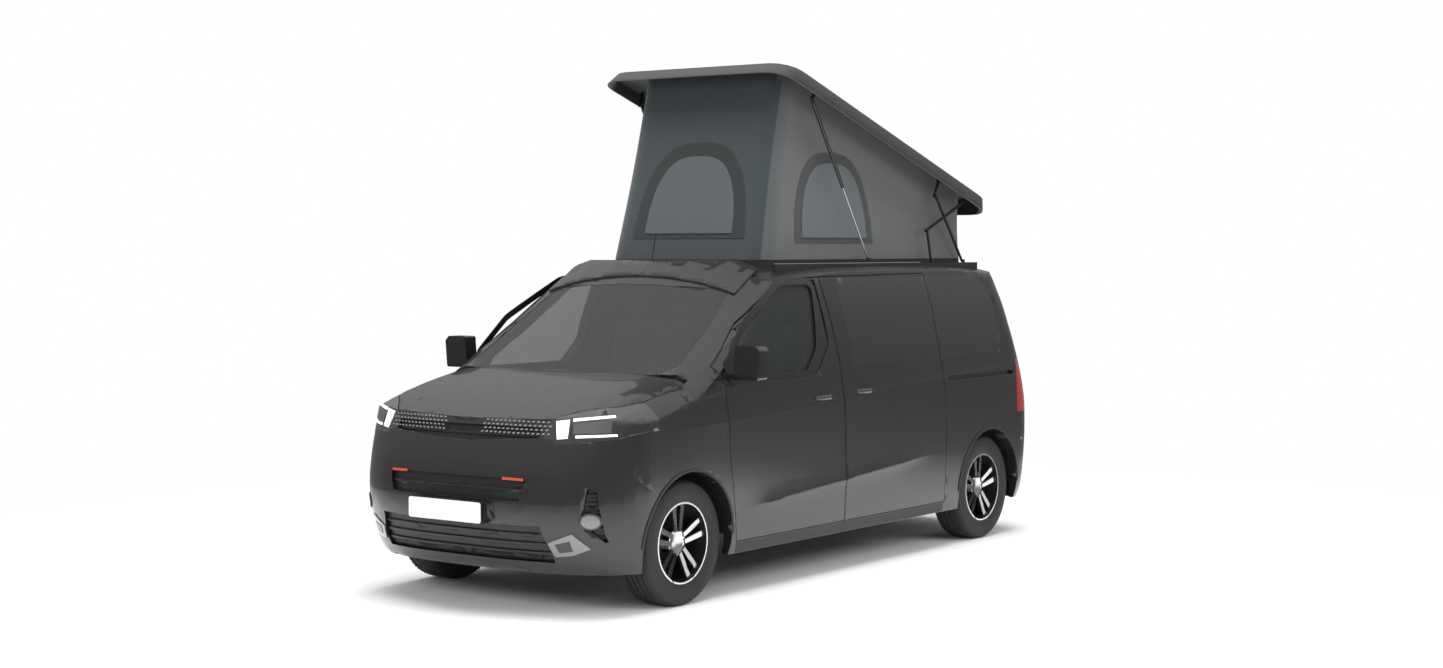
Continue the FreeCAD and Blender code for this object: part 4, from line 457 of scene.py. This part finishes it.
doorGlassRecess = .012
mirrorHead = {"rounding": .022, "steps": 4}
for node in ("body_shell", "front_fenders", "hood", "sliding_doors", "door_left", "door_right",
             "tailgate", "front_bumper", "rear_bumper", "roof_fairing"):
    skin(node, paint)
for node, material in (("sill_trims", grained), ("grilles", blackMesh), ("headlamps", lampDark),
                       ("tail_lamps", lampRed), ("cowl", grained), ("windscreen", clearGlass),
                       ("side_glass", darkGlass), ("tailgate_glass", darkGlass)):
    skin(node, material)
for side in ("left", "right"):
    skin("door_glass_" + side, clearGlass, recess=doorGlassRecess)
    mirror = skin("mirror_" + side, blackGloss, curved=False)
    rounding = mirror.modifiers.new("rounding", "BEVEL")
    rounding.width = mirrorHead["rounding"]
    rounding.segments = mirrorHead["steps"]
print("body panels made")


# A point on the smooth body, from across and height on its front or along and height on its side
def bodyPoint(where, a, b):
    levels, start, run = form["levels"], form["noseStart"], form["tailRun"]
    wide = curve(levels, form["halfWidth"], b)
    nose = curve(levels, form["nose"], b)
    if where == "front":
        bulge = max(0, 1 - (abs(a) / wide)**form["nosePower"])**.5
        return Vector((a, start + (nose - start) * bulge, b))
    ahead = (start - a) / (start - nose)
    behind = (a - curve(levels, form["tail"], b) + run) / run
    if ahead > 0:
        wide *= max(0, 1 - ahead**2)**(1 / form["nosePower"])
    elif behind > 0:
        wide *= max(0, 1 - behind**2)**(1 / form["tailPower"])
    return Vector((wide, a, b))


# The same on the canvas; on its side the height of the lid depends on the place along it
def canvasPoint(where, a, b):
    half, lowY, highY, lowZ = canvas["base"]
    wall = canvas["frontWall"] if where == "canvasFront" else canvas["sideWall"]
    if where == "canvasFront":
        t = (b - lowZ) / wall["rise"]
        return Vector((a, lowY + wall["lean"] * t, b))
    part = (a - lowY - canvas["corner"]) / wall["lowRun"]
    for _ in range(wall["rounds"]):
        t = (b - lowZ) / (wall["topZ"] - wall["topFall"] * part - lowZ)
        part = ((a - (wall["lowStart"] * (1 - t) + wall["topStart"] * t))
                / (wall["lowRun"] * (1 - t) + wall["topRun"] * t))
    return Vector(((half - wall["lean"] * t) * (1 - wall["sag"] * math.sin(math.pi * t)), a, b))


# Thin pieces on the body; a layer is the height above the body where a piece starts, and its thickness
thin = {"probe": .001, "bury": .002, "gridShare": .45, "smooth": 40, "barSides": 12}


def liftedPoint(where, a, b, lift):
    spot = canvasPoint if where.startswith("canvas") else bodyPoint
    step = thin["probe"]
    along = spot(where, a + step, b) - spot(where, a - step, b)
    upward = spot(where, a, b + step) - spot(where, a, b - step)
    return spot(where, a, b) + along.cross(upward).normalized() * lift


# Closed pieces from one list of points, for both sides of the van or for its middle
def closedPieces(name, spots, faces, material, body, slot, both=True, outward=False):
    made = []
    for side, sign in (("left", 1), ("right", -1)) if both else (("", 1),):
        label = name + "_" + side if side else name
        shapes = [face[::-1] for face in faces] if outward and sign < 0 else faces
        mesh = bpy.data.meshes.new(label)
        mesh.from_pydata([(v.x * sign, v.y, v.z) for v in spots], [], shapes)
        bm = bmesh.new()
        bm.from_mesh(mesh)
        bmesh.ops.recalc_face_normals(bm, faces=bm.faces)
        bm.to_mesh(mesh)
        bm.free()
        made.append(newPiece(label, mesh, body.replace("SIDE", side), material, slot, thin["smooth"]))
    return made


def insideOutline(x, y, outline):
    hits = 0
    for (x0, y0), (x1, y1) in zip(outline, outline[1:] + outline[:1]):
        if (y0 > y) != (y1 > y) and x < x0 + (y - y0) / (y1 - y0) * (x1 - x0):
            hits += 1
    return hits % 2 == 1


# A thin piece that follows the body inside a drawn outline
def patch(name, where, outline, lift, thick, material, body="root", slot="trim_black", both=True,
          cell=.02):
    edge = []
    for (x0, y0), (x1, y1) in zip(outline, outline[1:] + outline[:1]):
        steps = max(1, round(math.hypot(x1 - x0, y1 - y0) / cell))
        edge += [(x0 + (x1 - x0) * k / steps, y0 + (y1 - y0) * k / steps) for k in range(steps)]
    xs, ys = [p[0] for p in edge], [p[1] for p in edge]
    inner = []
    for x in np.arange(min(xs) + cell / 2, max(xs), cell):
        for y in np.arange(min(ys) + cell / 2, max(ys), cell):
            far = min(math.hypot(x - ex, y - ey) for ex, ey in edge)
            if far > cell * thin["gridShare"] and insideOutline(x, y, edge):
                inner.append((x, y))
    flat, _, faces, *_ = geometry.delaunay_2d_cdt([Vector(p) for p in edge + inner], [],
                                                  [list(range(len(edge)))], 1, 1e-7)
    tris = []
    for a, b, c in faces:
        turn = (flat[b] - flat[a]).cross(flat[c] - flat[a])
        tris.append((a, b, c) if turn > 0 else (a, c, b))
    directed = {(f[k], f[(k + 1) % 3]) for f in tris for k in range(3)}
    rim = sorted((a, b) for a, b in directed if (b, a) not in directed)
    upper = [liftedPoint(where, p.x, p.y, lift + thick) for p in flat]
    lower = [liftedPoint(where, p.x, p.y, lift - thin["bury"]) for p in flat]
    count = len(flat)
    shapes = tris + [(c + count, b + count, a + count) for a, b, c in tris]
    shapes += [(b, a, a + count, b + count) for a, b in rim]
    return closedPieces(name, upper + lower, shapes, material, body, slot, both, outward=True)


# A bar along a line of points, flattened to across and up
def bar(name, path, across, up, material, body, slot):
    outward, sides, last = Vector((1, 0, 0)), thin["barSides"], len(path) - 1
    spots, faces = [], []
    for k, point in enumerate(path):
        ahead = (Vector(path[min(k + 1, last)]) - Vector(path[max(k - 1, 0)])).normalized()
        width = ahead.cross(outward).normalized()
        lift = width.cross(ahead)
        for s in range(sides):
            angle = 2 * math.pi * s / sides
            spots.append(Vector(point) + lift * across * math.cos(angle) + width * up * math.sin(angle))
    for k in range(last):
        for s in range(sides):
            a, b = k * sides + s, k * sides + (s + 1) % sides
            faces.append((a, b, b + sides, a + sides))
    faces.append(tuple(range(sides))[::-1])
    faces.append(tuple(range(last * sides, (last + 1) * sides)))
    closedPieces(name, spots, faces, material, body, slot)


# A band on the body between two rings of points
def band(name, where, inner, outer, lift, thick, material, body, slot):
    rings = []
    for part in (0, .5, 1):
        rings.append([(a + (c - a) * part, b + (d - b) * part) for (a, b), (c, d) in zip(inner, outer)])
    count = len(inner)
    upper = [liftedPoint(where, a, b, lift + thick) for ring in rings for a, b in ring]
    lower = [liftedPoint(where, a, b, lift - thin["bury"]) for ring in rings for a, b in ring]
    total = len(upper)
    faces = []
    for k in range(count):
        n = (k + 1) % count
        for row in (0, count):
            a, b, c, d = row + k, row + n, row + count + n, row + count + k
            faces += [(a, b, c, d), (d + total, c + total, b + total, a + total)]
        faces.append((n, k, k + total, n + total))
        faces.append((2 * count + k, 2 * count + n, 2 * count + n + total, 2 * count + k + total))
    closedPieces(name, upper + lower, faces, material, body, slot)


def circle(x, z, radius, count=28):
    turns = [2 * math.pi * k / count for k in range(count)]
    return [(x + radius * math.cos(turn), z + radius * math.sin(turn)) for turn in turns]


# Lamps: bright block and bars over a dark housing, and a round fog lamp
lamp = {"block": [(.585, 1.025), (.612, .935), (.665, .940), (.655, 1.035)],
        "upperBar": [(.672, 1.040), (.675, 1.026), (.858, 1.048), (.855, 1.060)],
        "lowerBar": [(.700, .955), (.704, .942), (.876, .951), (.872, .962)],
        "reflector": [(.676, 1.016), (.688, .962), (.850, .970), (.848, 1.036)],
        "fog": (.797, .516, .045), "fogLens": .8, "whiteLayer": (.001, .003),
        "reflectorLayer": (.0005, .002), "ringLayer": (.001, .004), "lensLayer": (.004, .004),
        "cell": .01, "reflectorCell": .012}
for label, key in (("lamp_block", "block"), ("lamp_upper_bar", "upperBar"), ("lamp_lower_bar", "lowerBar")):
    patch(label, "front", lamp[key], *lamp["whiteLayer"], lampWhite, slot="lamp_clear", cell=lamp["cell"])
patch("lamp_reflector", "front", lamp["reflector"], *lamp["reflectorLayer"], lampGrey, slot="lamp_clear",
      cell=lamp["reflectorCell"])
fogX, fogZ, fogR = lamp["fog"]
patch("fog_ring", "front", circle(fogX, fogZ, fogR), *lamp["ringLayer"], blackGloss, slot="gloss_black",
      cell=lamp["cell"])
patch("fog_lens", "front", circle(fogX, fogZ, fogR * lamp["fogLens"]), *lamp["lensLayer"], lampGrey,
      slot="lamp_clear", cell=lamp["cell"])

# Front: blank plate in its frame, bright wedges, red accents and the dashes of the upper grille
front = {"plate": (.52, .11, .545, .014), "plateY": -2.476, "frameThick": .012, "frameRim": .012,
         "faceThick": .003, "faceSunk": .001, "cornerSteps": 5, "rimShare": .3,
         "wedge": [(.59, .40), (.61, .325), (.70, .335), (.785, .372), (.715, .452)],
         "wedgeInner": [(.625, .393), (.640, .350), (.705, .360), (.700, .412)],
         "accent": [(.343, .720), (.472, .717), (.472, .731), (.343, .734)],
         "dashRows": [.955, .975, .995, 1.015], "dashFrom": .13, "dashTo": .555, "dashStep": .030,
         "dashShape": [(0, 0), (.016, 0), (.020, .007), (.004, .007)], "dashLayer": (.0005, .002),
         "wedgeLayer": (.001, .004), "innerLayer": (.005, .002), "accentLayer": (.001, .003),
         "wedgeCell": .015, "accentCell": .012}


def roundSlab(name, y, width, height, middle, thick, radius, material, slot):
    outline = []
    steps = front["cornerSteps"]
    for cx, cz, turn in ((1, 1, 0), (-1, 1, 90), (-1, -1, 180), (1, -1, 270)):
        for step in range(steps):
            angle = math.radians(turn + step * 90 / (steps - 1))
            outline.append((cx * (width / 2 - radius) + radius * math.cos(angle),
                            middle + cz * (height / 2 - radius) + radius * math.sin(angle)))
    bm = bmesh.new()
    face = bm.faces.new([bm.verts.new((x, y, z)) for x, z in outline])
    for part in bmesh.ops.extrude_face_region(bm, geom=[face])["geom"]:
        if isinstance(part, bmesh.types.BMVert):
            part.co.y -= thick
    bmesh.ops.recalc_face_normals(bm, faces=bm.faces)
    rims = [e for e in bm.edges if abs(e.verts[0].co.y - e.verts[1].co.y) < 1e-6]
    bmesh.ops.bevel(bm, geom=rims, offset=thick * front["rimShare"], segments=2, affect="EDGES")
    mesh = bpy.data.meshes.new(name)
    bm.to_mesh(mesh)
    bm.free()
    newPiece(name, mesh, "root", material, slot, thin["smooth"])


def makeDashes():
    number = 0
    for row, z in enumerate(front["dashRows"]):
        x = front["dashFrom"] + (row % 2) * front["dashStep"] / 2
        while x < front["dashTo"]:
            shape = [(x + a, z + b) for a, b in front["dashShape"]]
            patch("grille_dash_%d" % number, "front", shape, *front["dashLayer"], brightTrim,
                  slot="gloss_black")
            number += 1
            x += front["dashStep"]


width, height, middle, radius = front["plate"]
roundSlab("plate_front", front["plateY"], width + front["frameRim"], height + front["frameRim"], middle,
          front["frameThick"], radius, blackGloss, "gloss_black")
roundSlab("plate_face", front["plateY"] - front["frameThick"] + front["faceSunk"], width, height, middle,
          front["faceThick"], radius, plateWhite, "lower_paint")
patch("lower_wedge", "front", front["wedge"], *front["wedgeLayer"], lampGrey, slot="lower_paint",
      cell=front["wedgeCell"])
patch("wedge_inner", "front", front["wedgeInner"], *front["innerLayer"], blackGloss, slot="gloss_black",
      cell=front["wedgeCell"])
patch("red_accent", "front", front["accent"], *front["accentLayer"], accentRed, slot="lamp_red",
      cell=front["accentCell"])
makeDashes()
print("front details made")


# Door handles: a curved bar over a round black disc, painted shade of the finger recess behind the bar
handle = {"half": .068, "shadeRadius": .038, "reach": .032, "across": .008, "up": .014, "steps": 16,
          "door": (-.314, 1.051), "slide": (.129, 1.065), "sunk": .002, "endPower": 4,
          "shadeLayer": (0, .0025), "shadeCell": .012}


def doorHandle(name, y, z, body):
    path = []
    for k in range(handle["steps"] + 1):
        t = k / handle["steps"] * 2 - 1
        rise = handle["reach"] * max(0, 1 - abs(t)**handle["endPower"])**.5 - handle["sunk"]
        path.append(liftedPoint("side", y + t * handle["half"], z, rise))
    bar(name, path, handle["across"], handle["up"], handleTrim, body, "gloss_black")
    # The disc is painted shade: a flat black patch on the skin where the shaded recess behind the handle
    # would be
    patch(name + "_recess_shade", "side", circle(y, z, handle["shadeRadius"]), *handle["shadeLayer"], blackGloss, body,
          "gloss_black", cell=handle["shadeCell"])


doorHandle("handle_front", *handle["door"], "door_SIDE")
doorHandle("handle_slide", *handle["slide"], "root")

# The black surround follows the outline of the door glass
surround = {"width": .042, "gap": .004, "layer": (0, .002), "points": 72}


def glassOutline(node):
    spots = [Vector((v.co.y, v.co.z)) for v in frame["nodes"][node].data.vertices]
    hull = [spots[k] for k in geometry.convex_hull_2d(spots)]
    if sum(a.cross(b) for a, b in zip(hull, hull[1:] + hull[:1])) < 0:
        hull.reverse()
    lengths = [(b - a).length for a, b in zip(hull, hull[1:] + hull[:1])]
    marks = []
    for k in range(surround["points"]):
        run, place = sum(lengths) * k / surround["points"], 0
        while run > lengths[place]:
            run -= lengths[place]
            place += 1
        a, b = hull[place], hull[(place + 1) % len(hull)]
        marks.append(a + (b - a) * (run / lengths[place]))
    return marks


def pushOut(marks, distance):
    pushed = []
    for k, mark in enumerate(marks):
        run = marks[(k + 1) % len(marks)] - marks[k - 1]
        pushed.append(mark + Vector((run.y, -run.x)).normalized() * distance)
    return pushed


outline = glassOutline("door_glass_left")
band("window_surround", "side", pushOut(outline, surround["gap"]),
     pushOut(outline, surround["gap"] + surround["width"]), *surround["layer"], blackGloss, "door_SIDE",
     "gloss_black")

# Lips of the wheel arches
arch = {"inner": .388, "outer": .402, "z": .34, "front": -1.59, "rear": 1.685, "from": 2, "to": 178,
        "steps": 40, "layer": (0, .005), "cell": .025}


def archLip(where):
    steps = arch["steps"]
    turns = [math.radians(arch["from"] + (arch["to"] - arch["from"]) * k / steps) for k in range(steps + 1)]
    outline = [(arch[where] + arch["outer"] * math.cos(t), arch["z"] + arch["outer"] * math.sin(t))
               for t in turns]
    outline += [(arch[where] + arch["inner"] * math.cos(t), arch["z"] + arch["inner"] * math.sin(t))
                for t in reversed(turns)]
    patch("arch_lip_" + where, "side", outline, *arch["layer"], grained, cell=arch["cell"])


archLip("front")
archLip("rear")

# Bright strips on the roof rails
rail = {"x": .701, "z": 1.829, "from": -.45, "to": 1.2, "across": .006, "up": .004, "steps": 12}
places = [rail["from"] + (rail["to"] - rail["from"]) * k / rail["steps"] for k in range(rail["steps"] + 1)]
bar("rail_strip", [(rail["x"], y, rail["z"]) for y in places], rail["across"], rail["up"], brightTrim,
    "root", "trim_black")
print("side details made")

for node, material in (("roof_rails", grained), ("lift_long_bars", anodised),
                       ("lift_cross_bars", anodised), ("lift_short_links", anodised),
                       ("lift_upper_links", anodised), ("lid_brackets", anodised),
                       ("strut_barrels", blackGloss), ("strut_rods", brightTrim),
                       ("knuckle_left", iron), ("knuckle_right", iron), ("suspension", steel),
                       ("wheel_liners", grained), ("floor_pan", floorCover),
                       ("underframe", steel), ("engine_block", iron),
                       ("dashboard", innerPlastic), ("steering_wheel", innerPlastic),
                       ("rear_shelf", innerPlastic)):
    keepNode(node, material)

# Lid: a black shell whose underside is lined with lighter cloth
lid = {"linedBelow": -.6, "smooth": 40}
skin("lid", [roofBlack, canvasSide], curved=False, smooth=lid["smooth"],
     pick=lambda centre, normal: 1 if normal.z < lid["linedBelow"] else 0)


# Wheels: grooved tyres with shoulder lugs, and rims with machined faces over dark pockets
wheel = {"radius": .340, "grooves": [-.052, -.018, .018, .052], "grooveWidth": .008,
         "grooveDepth": .007, "sides": 144, "shoulder": .074, "tyreSmooth": 32, "rimSmooth": 30,
         "wall": [(-.095, .2223), (-.103, .245), (-.107, .272), (-.1055, .300), (-.099, .322),
                  (-.084, .3375)],
         "lugDepth": .006, "lugFrom": .06, "lugRadius": .336, "faceFrom": .83, "faceTurn": .85}


def makeTyre(name):
    low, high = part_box("tyre_" + name)
    centre = (low + high) / 2
    radius, half, deep = wheel["radius"], wheel["grooveWidth"] / 2, wheel["grooveDepth"]
    tread = []
    for g in wheel["grooves"]:
        tread += [(g - half, radius), (g - half, radius - deep), (g + half, radius - deep),
                  (g + half, radius)]
    profile = wheel["wall"] + [(-wheel["shoulder"], radius)] + tread + [(wheel["shoulder"], radius)]
    profile += [(-a, r) for a, r in reversed(wheel["wall"])]
    count, width = wheel["sides"], len(profile)
    verts, faces = [], []
    for s in range(count):
        angle = 2 * math.pi * s / count
        for a, r in profile:
            lug = s % 2 and abs(a) > wheel["lugFrom"] and r > wheel["lugRadius"]
            out = r - wheel["lugDepth"] if lug else r
            verts.append((centre.x + a, centre.y + out * math.cos(angle),
                          centre.z + out * math.sin(angle)))
    for s in range(count):
        for k in range(width):
            a, b = s * width + k, s * width + (k + 1) % width
            c, d = ((s + 1) % count) * width + (k + 1) % width, ((s + 1) % count) * width + k
            faces.append((a, b, c, d))
    mesh = bpy.data.meshes.new("tread_" + name)
    mesh.from_pydata(verts, [], faces)
    obj = newPiece("tread_" + name, mesh, "wheel_" + name, rubber, "tyre_rubber", wheel["tyreSmooth"])
    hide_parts("tyre_" + name)


def makeRim(name, side):
    def pick(centre, normal):
        return 0 if normal.x * side > wheel["faceTurn"] and abs(centre.x) > wheel["faceFrom"] else 1
    skin("rim_" + name, [machined, darkAlloy], curved=False, smooth=wheel["rimSmooth"], pick=pick)


for name, side in (("front_left", 1), ("front_right", -1), ("rear_left", 1), ("rear_right", -1)):
    makeTyre(name)
    makeRim(name, side)
print("wheels made")


# Canvas walls between the roof frame and the lid, with arched nets and covers sewn on
canvas = {"base": (.596, -.394, 1.966, 1.8535), "topHalf": .545, "topFront": -2.405,
          "topRear": -.130, "corner": .110, "lidAngle": 18, "lidRear": (2.136, 2.146),
          "topRise": .097, "rows": 28, "around": 200, "sag": .012, "frontSag": .6, "sagHalf": .6,
          "sideFrom": .5, "sideTurn": .6, "smooth": 50,
          "frontWall": {"rise": 1.128, "lean": .273},
          "sideWall": {"lowRun": 2.14, "topRun": 1.954, "lowStart": -.284, "topStart": -.0166,
                       "topZ": 2.9475, "topFall": .635, "lean": .051, "sag": .02, "rounds": 6},
          "frontArch": (0, .42, 1.98, .584), "frontCover": (0, .33, 2.01, .47),
          "sideArch": (.370, .440, 1.952, .555), "sideCover": (.370, .365, 1.985, .46),
          "netLayer": (.001, .002), "coverLayer": (.004, .003), "archSteps": 28, "archPower": 2 / 3,
          "cell": .03}


# Points evenly spaced round a rectangle with round corners, from the front centre
def roundRing(half, lowY, highY, corner, count):
    marks = []
    width, length = 2 * (half - corner), (highY - lowY) - 2 * corner
    arc = math.pi * corner / 2
    spans = [width / 2, arc, length, arc, width, arc, length, arc, width / 2]
    for k in range(count):
        s, place = sum(spans) * k / count, 0
        while s > spans[place]:
            s -= spans[place]
            place += 1
        a = s / spans[place] * math.pi / 2
        near, far = corner * math.sin(a), corner * math.cos(a)
        marks.append([(s, lowY),
                      (half - corner + near, lowY + corner - far),
                      (half, lowY + corner + s),
                      (half - corner + far, highY - corner + near),
                      (half - corner - s, highY),
                      (-half + corner - near, highY - corner + far),
                      (-half, highY - corner - s),
                      (-half + corner - far, lowY + corner - near),
                      (-(half - corner) + s, lowY)][place])
    return marks


def archOutline(middle, half, low, height):
    marks = []
    for k in range(canvas["archSteps"] + 1):
        angle = math.pi * k / canvas["archSteps"]
        side = math.copysign(abs(math.cos(angle))**canvas["archPower"], math.cos(angle))
        marks.append((middle + half * side, low + height * math.sin(angle)))
    return marks


def makeCanvas():
    half, lowY, highY, lowZ = canvas["base"]
    count, rows, corner = canvas["around"], canvas["rows"], canvas["corner"]
    low = roundRing(half, lowY, highY, corner, count)
    high = roundRing(canvas["topHalf"], canvas["topFront"], canvas["topRear"], corner, count)
    lean = -math.radians(canvas["lidAngle"])
    rearY, rearZ = canvas["lidRear"]
    verts, faces = [], []
    for r in range(rows + 1):
        t = r / rows
        for (x0, y0), (x1, along) in zip(low, high):
            y1 = rearY + along * math.cos(lean) - canvas["topRise"] * math.sin(lean)
            z1 = rearZ + along * math.sin(lean) + canvas["topRise"] * math.cos(lean)
            share = 1 if abs(x0) > canvas["sideFrom"] else canvas["frontSag"]
            pull = 1 - canvas["sag"] * math.sin(math.pi * t) * share / canvas["sagHalf"]
            verts.append(((x0 + (x1 - x0) * t) * pull, y0 + (y1 - y0) * t, lowZ + (z1 - lowZ) * t))
    for r in range(rows):
        for k in range(count):
            a, b = r * count + k, r * count + (k + 1) % count
            faces.append((a, b, b + count, a + count))
    mesh = bpy.data.meshes.new("canvas_cloth")
    mesh.from_pydata(verts, [], faces)
    obj = newPiece("canvas_cloth", mesh, "root", [canvasFront, canvasSide], "canvas", canvas["smooth"])
    for face in mesh.polygons:
        face.material_index = 1 if abs(face.normal.x) > canvas["sideTurn"] else 0
    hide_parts("canvas_walls")
    sewn = []
    for label, where, both in (("front", "canvasFront", False), ("side", "canvasSide", True)):
        sewn += patch("net_" + label, where, archOutline(*canvas[label + "Arch"]), *canvas["netLayer"],
                      netDark, slot="canvas", both=both, cell=canvas["cell"])
        sewn += patch("cover_" + label, where, archOutline(*canvas[label + "Cover"]),
                      *canvas["coverLayer"], netLight, slot="canvas", both=both, cell=canvas["cell"])
    for piece in [obj] + sewn:
        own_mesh(piece)


makeCanvas()


# Seats: crowned pads, backs and head rests; name, middle, half width, front edge and length
seat = {"places": [("left", .4, .25, -.82, .52), ("right", -.4, .25, -.82, .52),
                   ("bench", 0, .64, .9, .52)],
        "topZ": .830, "padDepth": .13, "backHeight": .64, "backDepth": .12, "lean": .15,
        "headWidth": .28, "headHeight": .19, "headSunk": .02, "headStep": .5, "headsPerMetre": 4,
        "padCrown": .012, "backCrown": .015, "shrink": .01, "crownPower": 4, "cuts": 3}


# A crowned closed pad between a lower and an upper face of four corners each
def pillow(name, lower, upper, crown):
    bm = bmesh.new()
    bmesh.ops.create_cube(bm, size=1)
    bmesh.ops.subdivide_edges(bm, edges=bm.edges[:], cuts=seat["cuts"], use_grid_fill=True)
    power = seat["crownPower"]
    lows, highs = np.array(lower), np.array(upper)
    for v in bm.verts:
        s, t, q = v.co.x + .5, v.co.y + .5, v.co.z + .5
        swell = crown * (1 - (2 * s - 1)**power) * (1 - (2 * t - 1)**power)
        start, end = [(face[0] * (1 - s) + face[1] * s) * (1 - t) + (face[3] * (1 - s) + face[2] * s) * t
                      for face in (lows, highs)]
        up = end - start
        v.co = Vector(start + up * (q + (swell / np.linalg.norm(up) if q > .9 else 0)))
    mesh = bpy.data.meshes.new(name)
    bm.to_mesh(mesh)
    bm.free()
    obj = newPiece(name, mesh, "root", seatCloth, "seat_cloth", 0)
    soft = obj.modifiers.new("soft", "SUBSURF")
    soft.levels = soft.render_levels = 2
    return obj


# The front face that belongs to a rear face of a back or head rest
def foreFace(face):
    return [(a, b - seat["backDepth"] + seat["shrink"], c) for a, b, c in face]


def makeSeat(label, x, half, frontY, length):
    rear, top, lean = frontY + length, seat["topZ"], seat["lean"]
    low, backTop = top - seat["padDepth"], top + seat["backHeight"]
    base = [(x - half, frontY, low), (x + half, frontY, low), (x + half, rear, low), (x - half, rear, low)]
    pad = pillow("pad_" + label, base, [(a, b, top - seat["padCrown"]) for a, b, c in base],
                 seat["padCrown"])
    back = [(x - half, rear, low), (x + half, rear, low), (x + half, rear + lean, backTop),
            (x - half, rear + lean, backTop)]
    pillow("back_" + label, back, foreFace(back), seat["backCrown"])
    count = max(1, round(half * seat["headsPerMetre"]))
    for place in range(count):
        middle = x + (place - (count - 1) / 2) * seat["headStep"]
        left, right = middle - seat["headWidth"] / 2, middle + seat["headWidth"] / 2
        foot, crest = backTop - seat["headSunk"], backTop + seat["headHeight"]
        head = [(left, rear + lean, foot), (right, rear + lean, foot), (right, rear + lean, crest),
                (left, rear + lean, crest)]
        pillow("head_%s_%d" % (label, place), head, foreFace(head), seat["padCrown"])
    return pad


pads = [makeSeat(*place) for place in seat["places"]]
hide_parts("seats")
print("seats made")


# Floor, light and camera
studio = {"floorReach": 9.5, "floorColor": .93, "floorRough": .9, "fadeFrom": 3.4, "fadeTo": 6.5,
          "skyLow": .20, "skyRise": .85, "skyPower": 1.3, "plainLight": .42,
          "lights": [("top_light", (0, 0, 7), (0, 0, 0), 6, 9, 900),
                     ("left_light", (8, 1, 4.5), (0, 0, 1), 9, 3, 350),
                     ("front_light", (2, -9, 4), (0, -1, 1), 7, 2.5, 300)],
          "cameraPlace": (7.702, -10.524, 1.934), "cameraTurn": (90 - 2.396, 0, 36.234),
          "sensor": 36, "focalPixels": 2100.88, "photoWidth": 1443}


def lightPanel(name, place, target, width, height, power):
    data = bpy.data.lights.new(name, "AREA")
    data.shape = "RECTANGLE"
    data.size, data.size_y = width, height
    data.energy = power
    obj = bpy.data.objects.new(name, data)
    obj.location = place
    obj.rotation_euler = (Vector(target) - Vector(place)).to_track_quat("-Z", "Y").to_euler()
    obj.visible_glossy = False  # gloss comes from the studio's own gradient
    bpy.context.scene.collection.objects.link(obj)


# A pale floor that fades out before its edge
def makeFloor():
    mesh = bpy.data.meshes.new("studio_floor")
    reach = studio["floorReach"]
    mesh.from_pydata([(-reach, -reach, 0), (reach, -reach, 0), (reach, reach, 0), (-reach, reach, 0)],
                     [], [(0, 1, 2, 3)])
    floor = bpy.data.objects.new("studio_floor", mesh)
    bpy.context.scene.collection.objects.link(floor)
    mat = bpy.data.materials.new("studioFloor")
    mat.use_nodes = True
    tree = mat.node_tree
    shader = tree.nodes["Principled BSDF"]
    shader.inputs["Base Color"].default_value = (*[studio["floorColor"]] * 3, 1)
    shader.inputs["Roughness"].default_value = studio["floorRough"]
    coords = tree.nodes.new("ShaderNodeTexCoord")
    distance = tree.nodes.new("ShaderNodeVectorMath")
    distance.operation = "LENGTH"
    tree.links.new(coords.outputs["Object"], distance.inputs[0])
    ramp = tree.nodes.new("ShaderNodeMapRange")
    ramp.inputs["From Min"].default_value = studio["fadeFrom"]
    ramp.inputs["From Max"].default_value = studio["fadeTo"]
    tree.links.new(distance.outputs["Value"], ramp.inputs["Value"])
    clear = tree.nodes.new("ShaderNodeBsdfTransparent")
    mix = tree.nodes.new("ShaderNodeMixShader")
    tree.links.new(ramp.outputs[0], mix.inputs[0])
    tree.links.new(shader.outputs[0], mix.inputs[1])
    tree.links.new(clear.outputs[0], mix.inputs[2])
    tree.links.new(mix.outputs[0], tree.nodes["Material Output"].inputs["Surface"])
    mesh.materials.append(mat)


# White where it is seen directly, and brighter overhead where gloss reflects it
def makeWorld():
    world = bpy.data.worlds.new("studio")
    bpy.context.scene.world = world
    world.use_nodes = True
    tree = world.node_tree
    back = tree.nodes["Background"]
    rays = tree.nodes.new("ShaderNodeLightPath")
    isGlossy = rays.outputs["Is Glossy Ray"]
    seen = mathNode(tree, "MAXIMUM", rays.outputs["Is Camera Ray"], rays.outputs["Is Transmission Ray"])
    coords = tree.nodes.new("ShaderNodeTexCoord")
    parts = tree.nodes.new("ShaderNodeSeparateXYZ")
    tree.links.new(coords.outputs["Generated"], parts.inputs[0])
    height = mathNode(tree, "POWER", mathNode(tree, "MAXIMUM", parts.outputs[2], 0), studio["skyPower"])
    sky = mathNode(tree, "ADD", mathNode(tree, "MULTIPLY", height, studio["skyRise"]), studio["skyLow"])
    glossy = mathNode(tree, "MULTIPLY", isGlossy, sky)
    plain = mathNode(tree, "MULTIPLY", mathNode(tree, "SUBTRACT", 1, isGlossy), studio["plainLight"])
    level = mathNode(tree, "MAXIMUM", mathNode(tree, "MAXIMUM", seen, glossy), plain)
    back.inputs["Color"].default_value = (1, 1, 1, 1)
    tree.links.new(level, back.inputs["Strength"])


def makeCamera():
    data = bpy.data.cameras.new("view")
    data.sensor_width = studio["sensor"]
    data.lens = studio["sensor"] * studio["focalPixels"] / studio["photoWidth"]
    camera = bpy.data.objects.new("view", data)
    camera.location = studio["cameraPlace"]
    camera.rotation_euler = [math.radians(turn) for turn in studio["cameraTurn"]]
    bpy.context.scene.collection.objects.link(camera)
    bpy.context.scene.camera = camera


makeFloor()
makeWorld()
makeCamera()
for panel in studio["lights"]:
    lightPanel(*panel)
bpy.context.scene.view_settings.view_transform = "Standard"

bpy.context.view_layer.update()
print("scene ready")
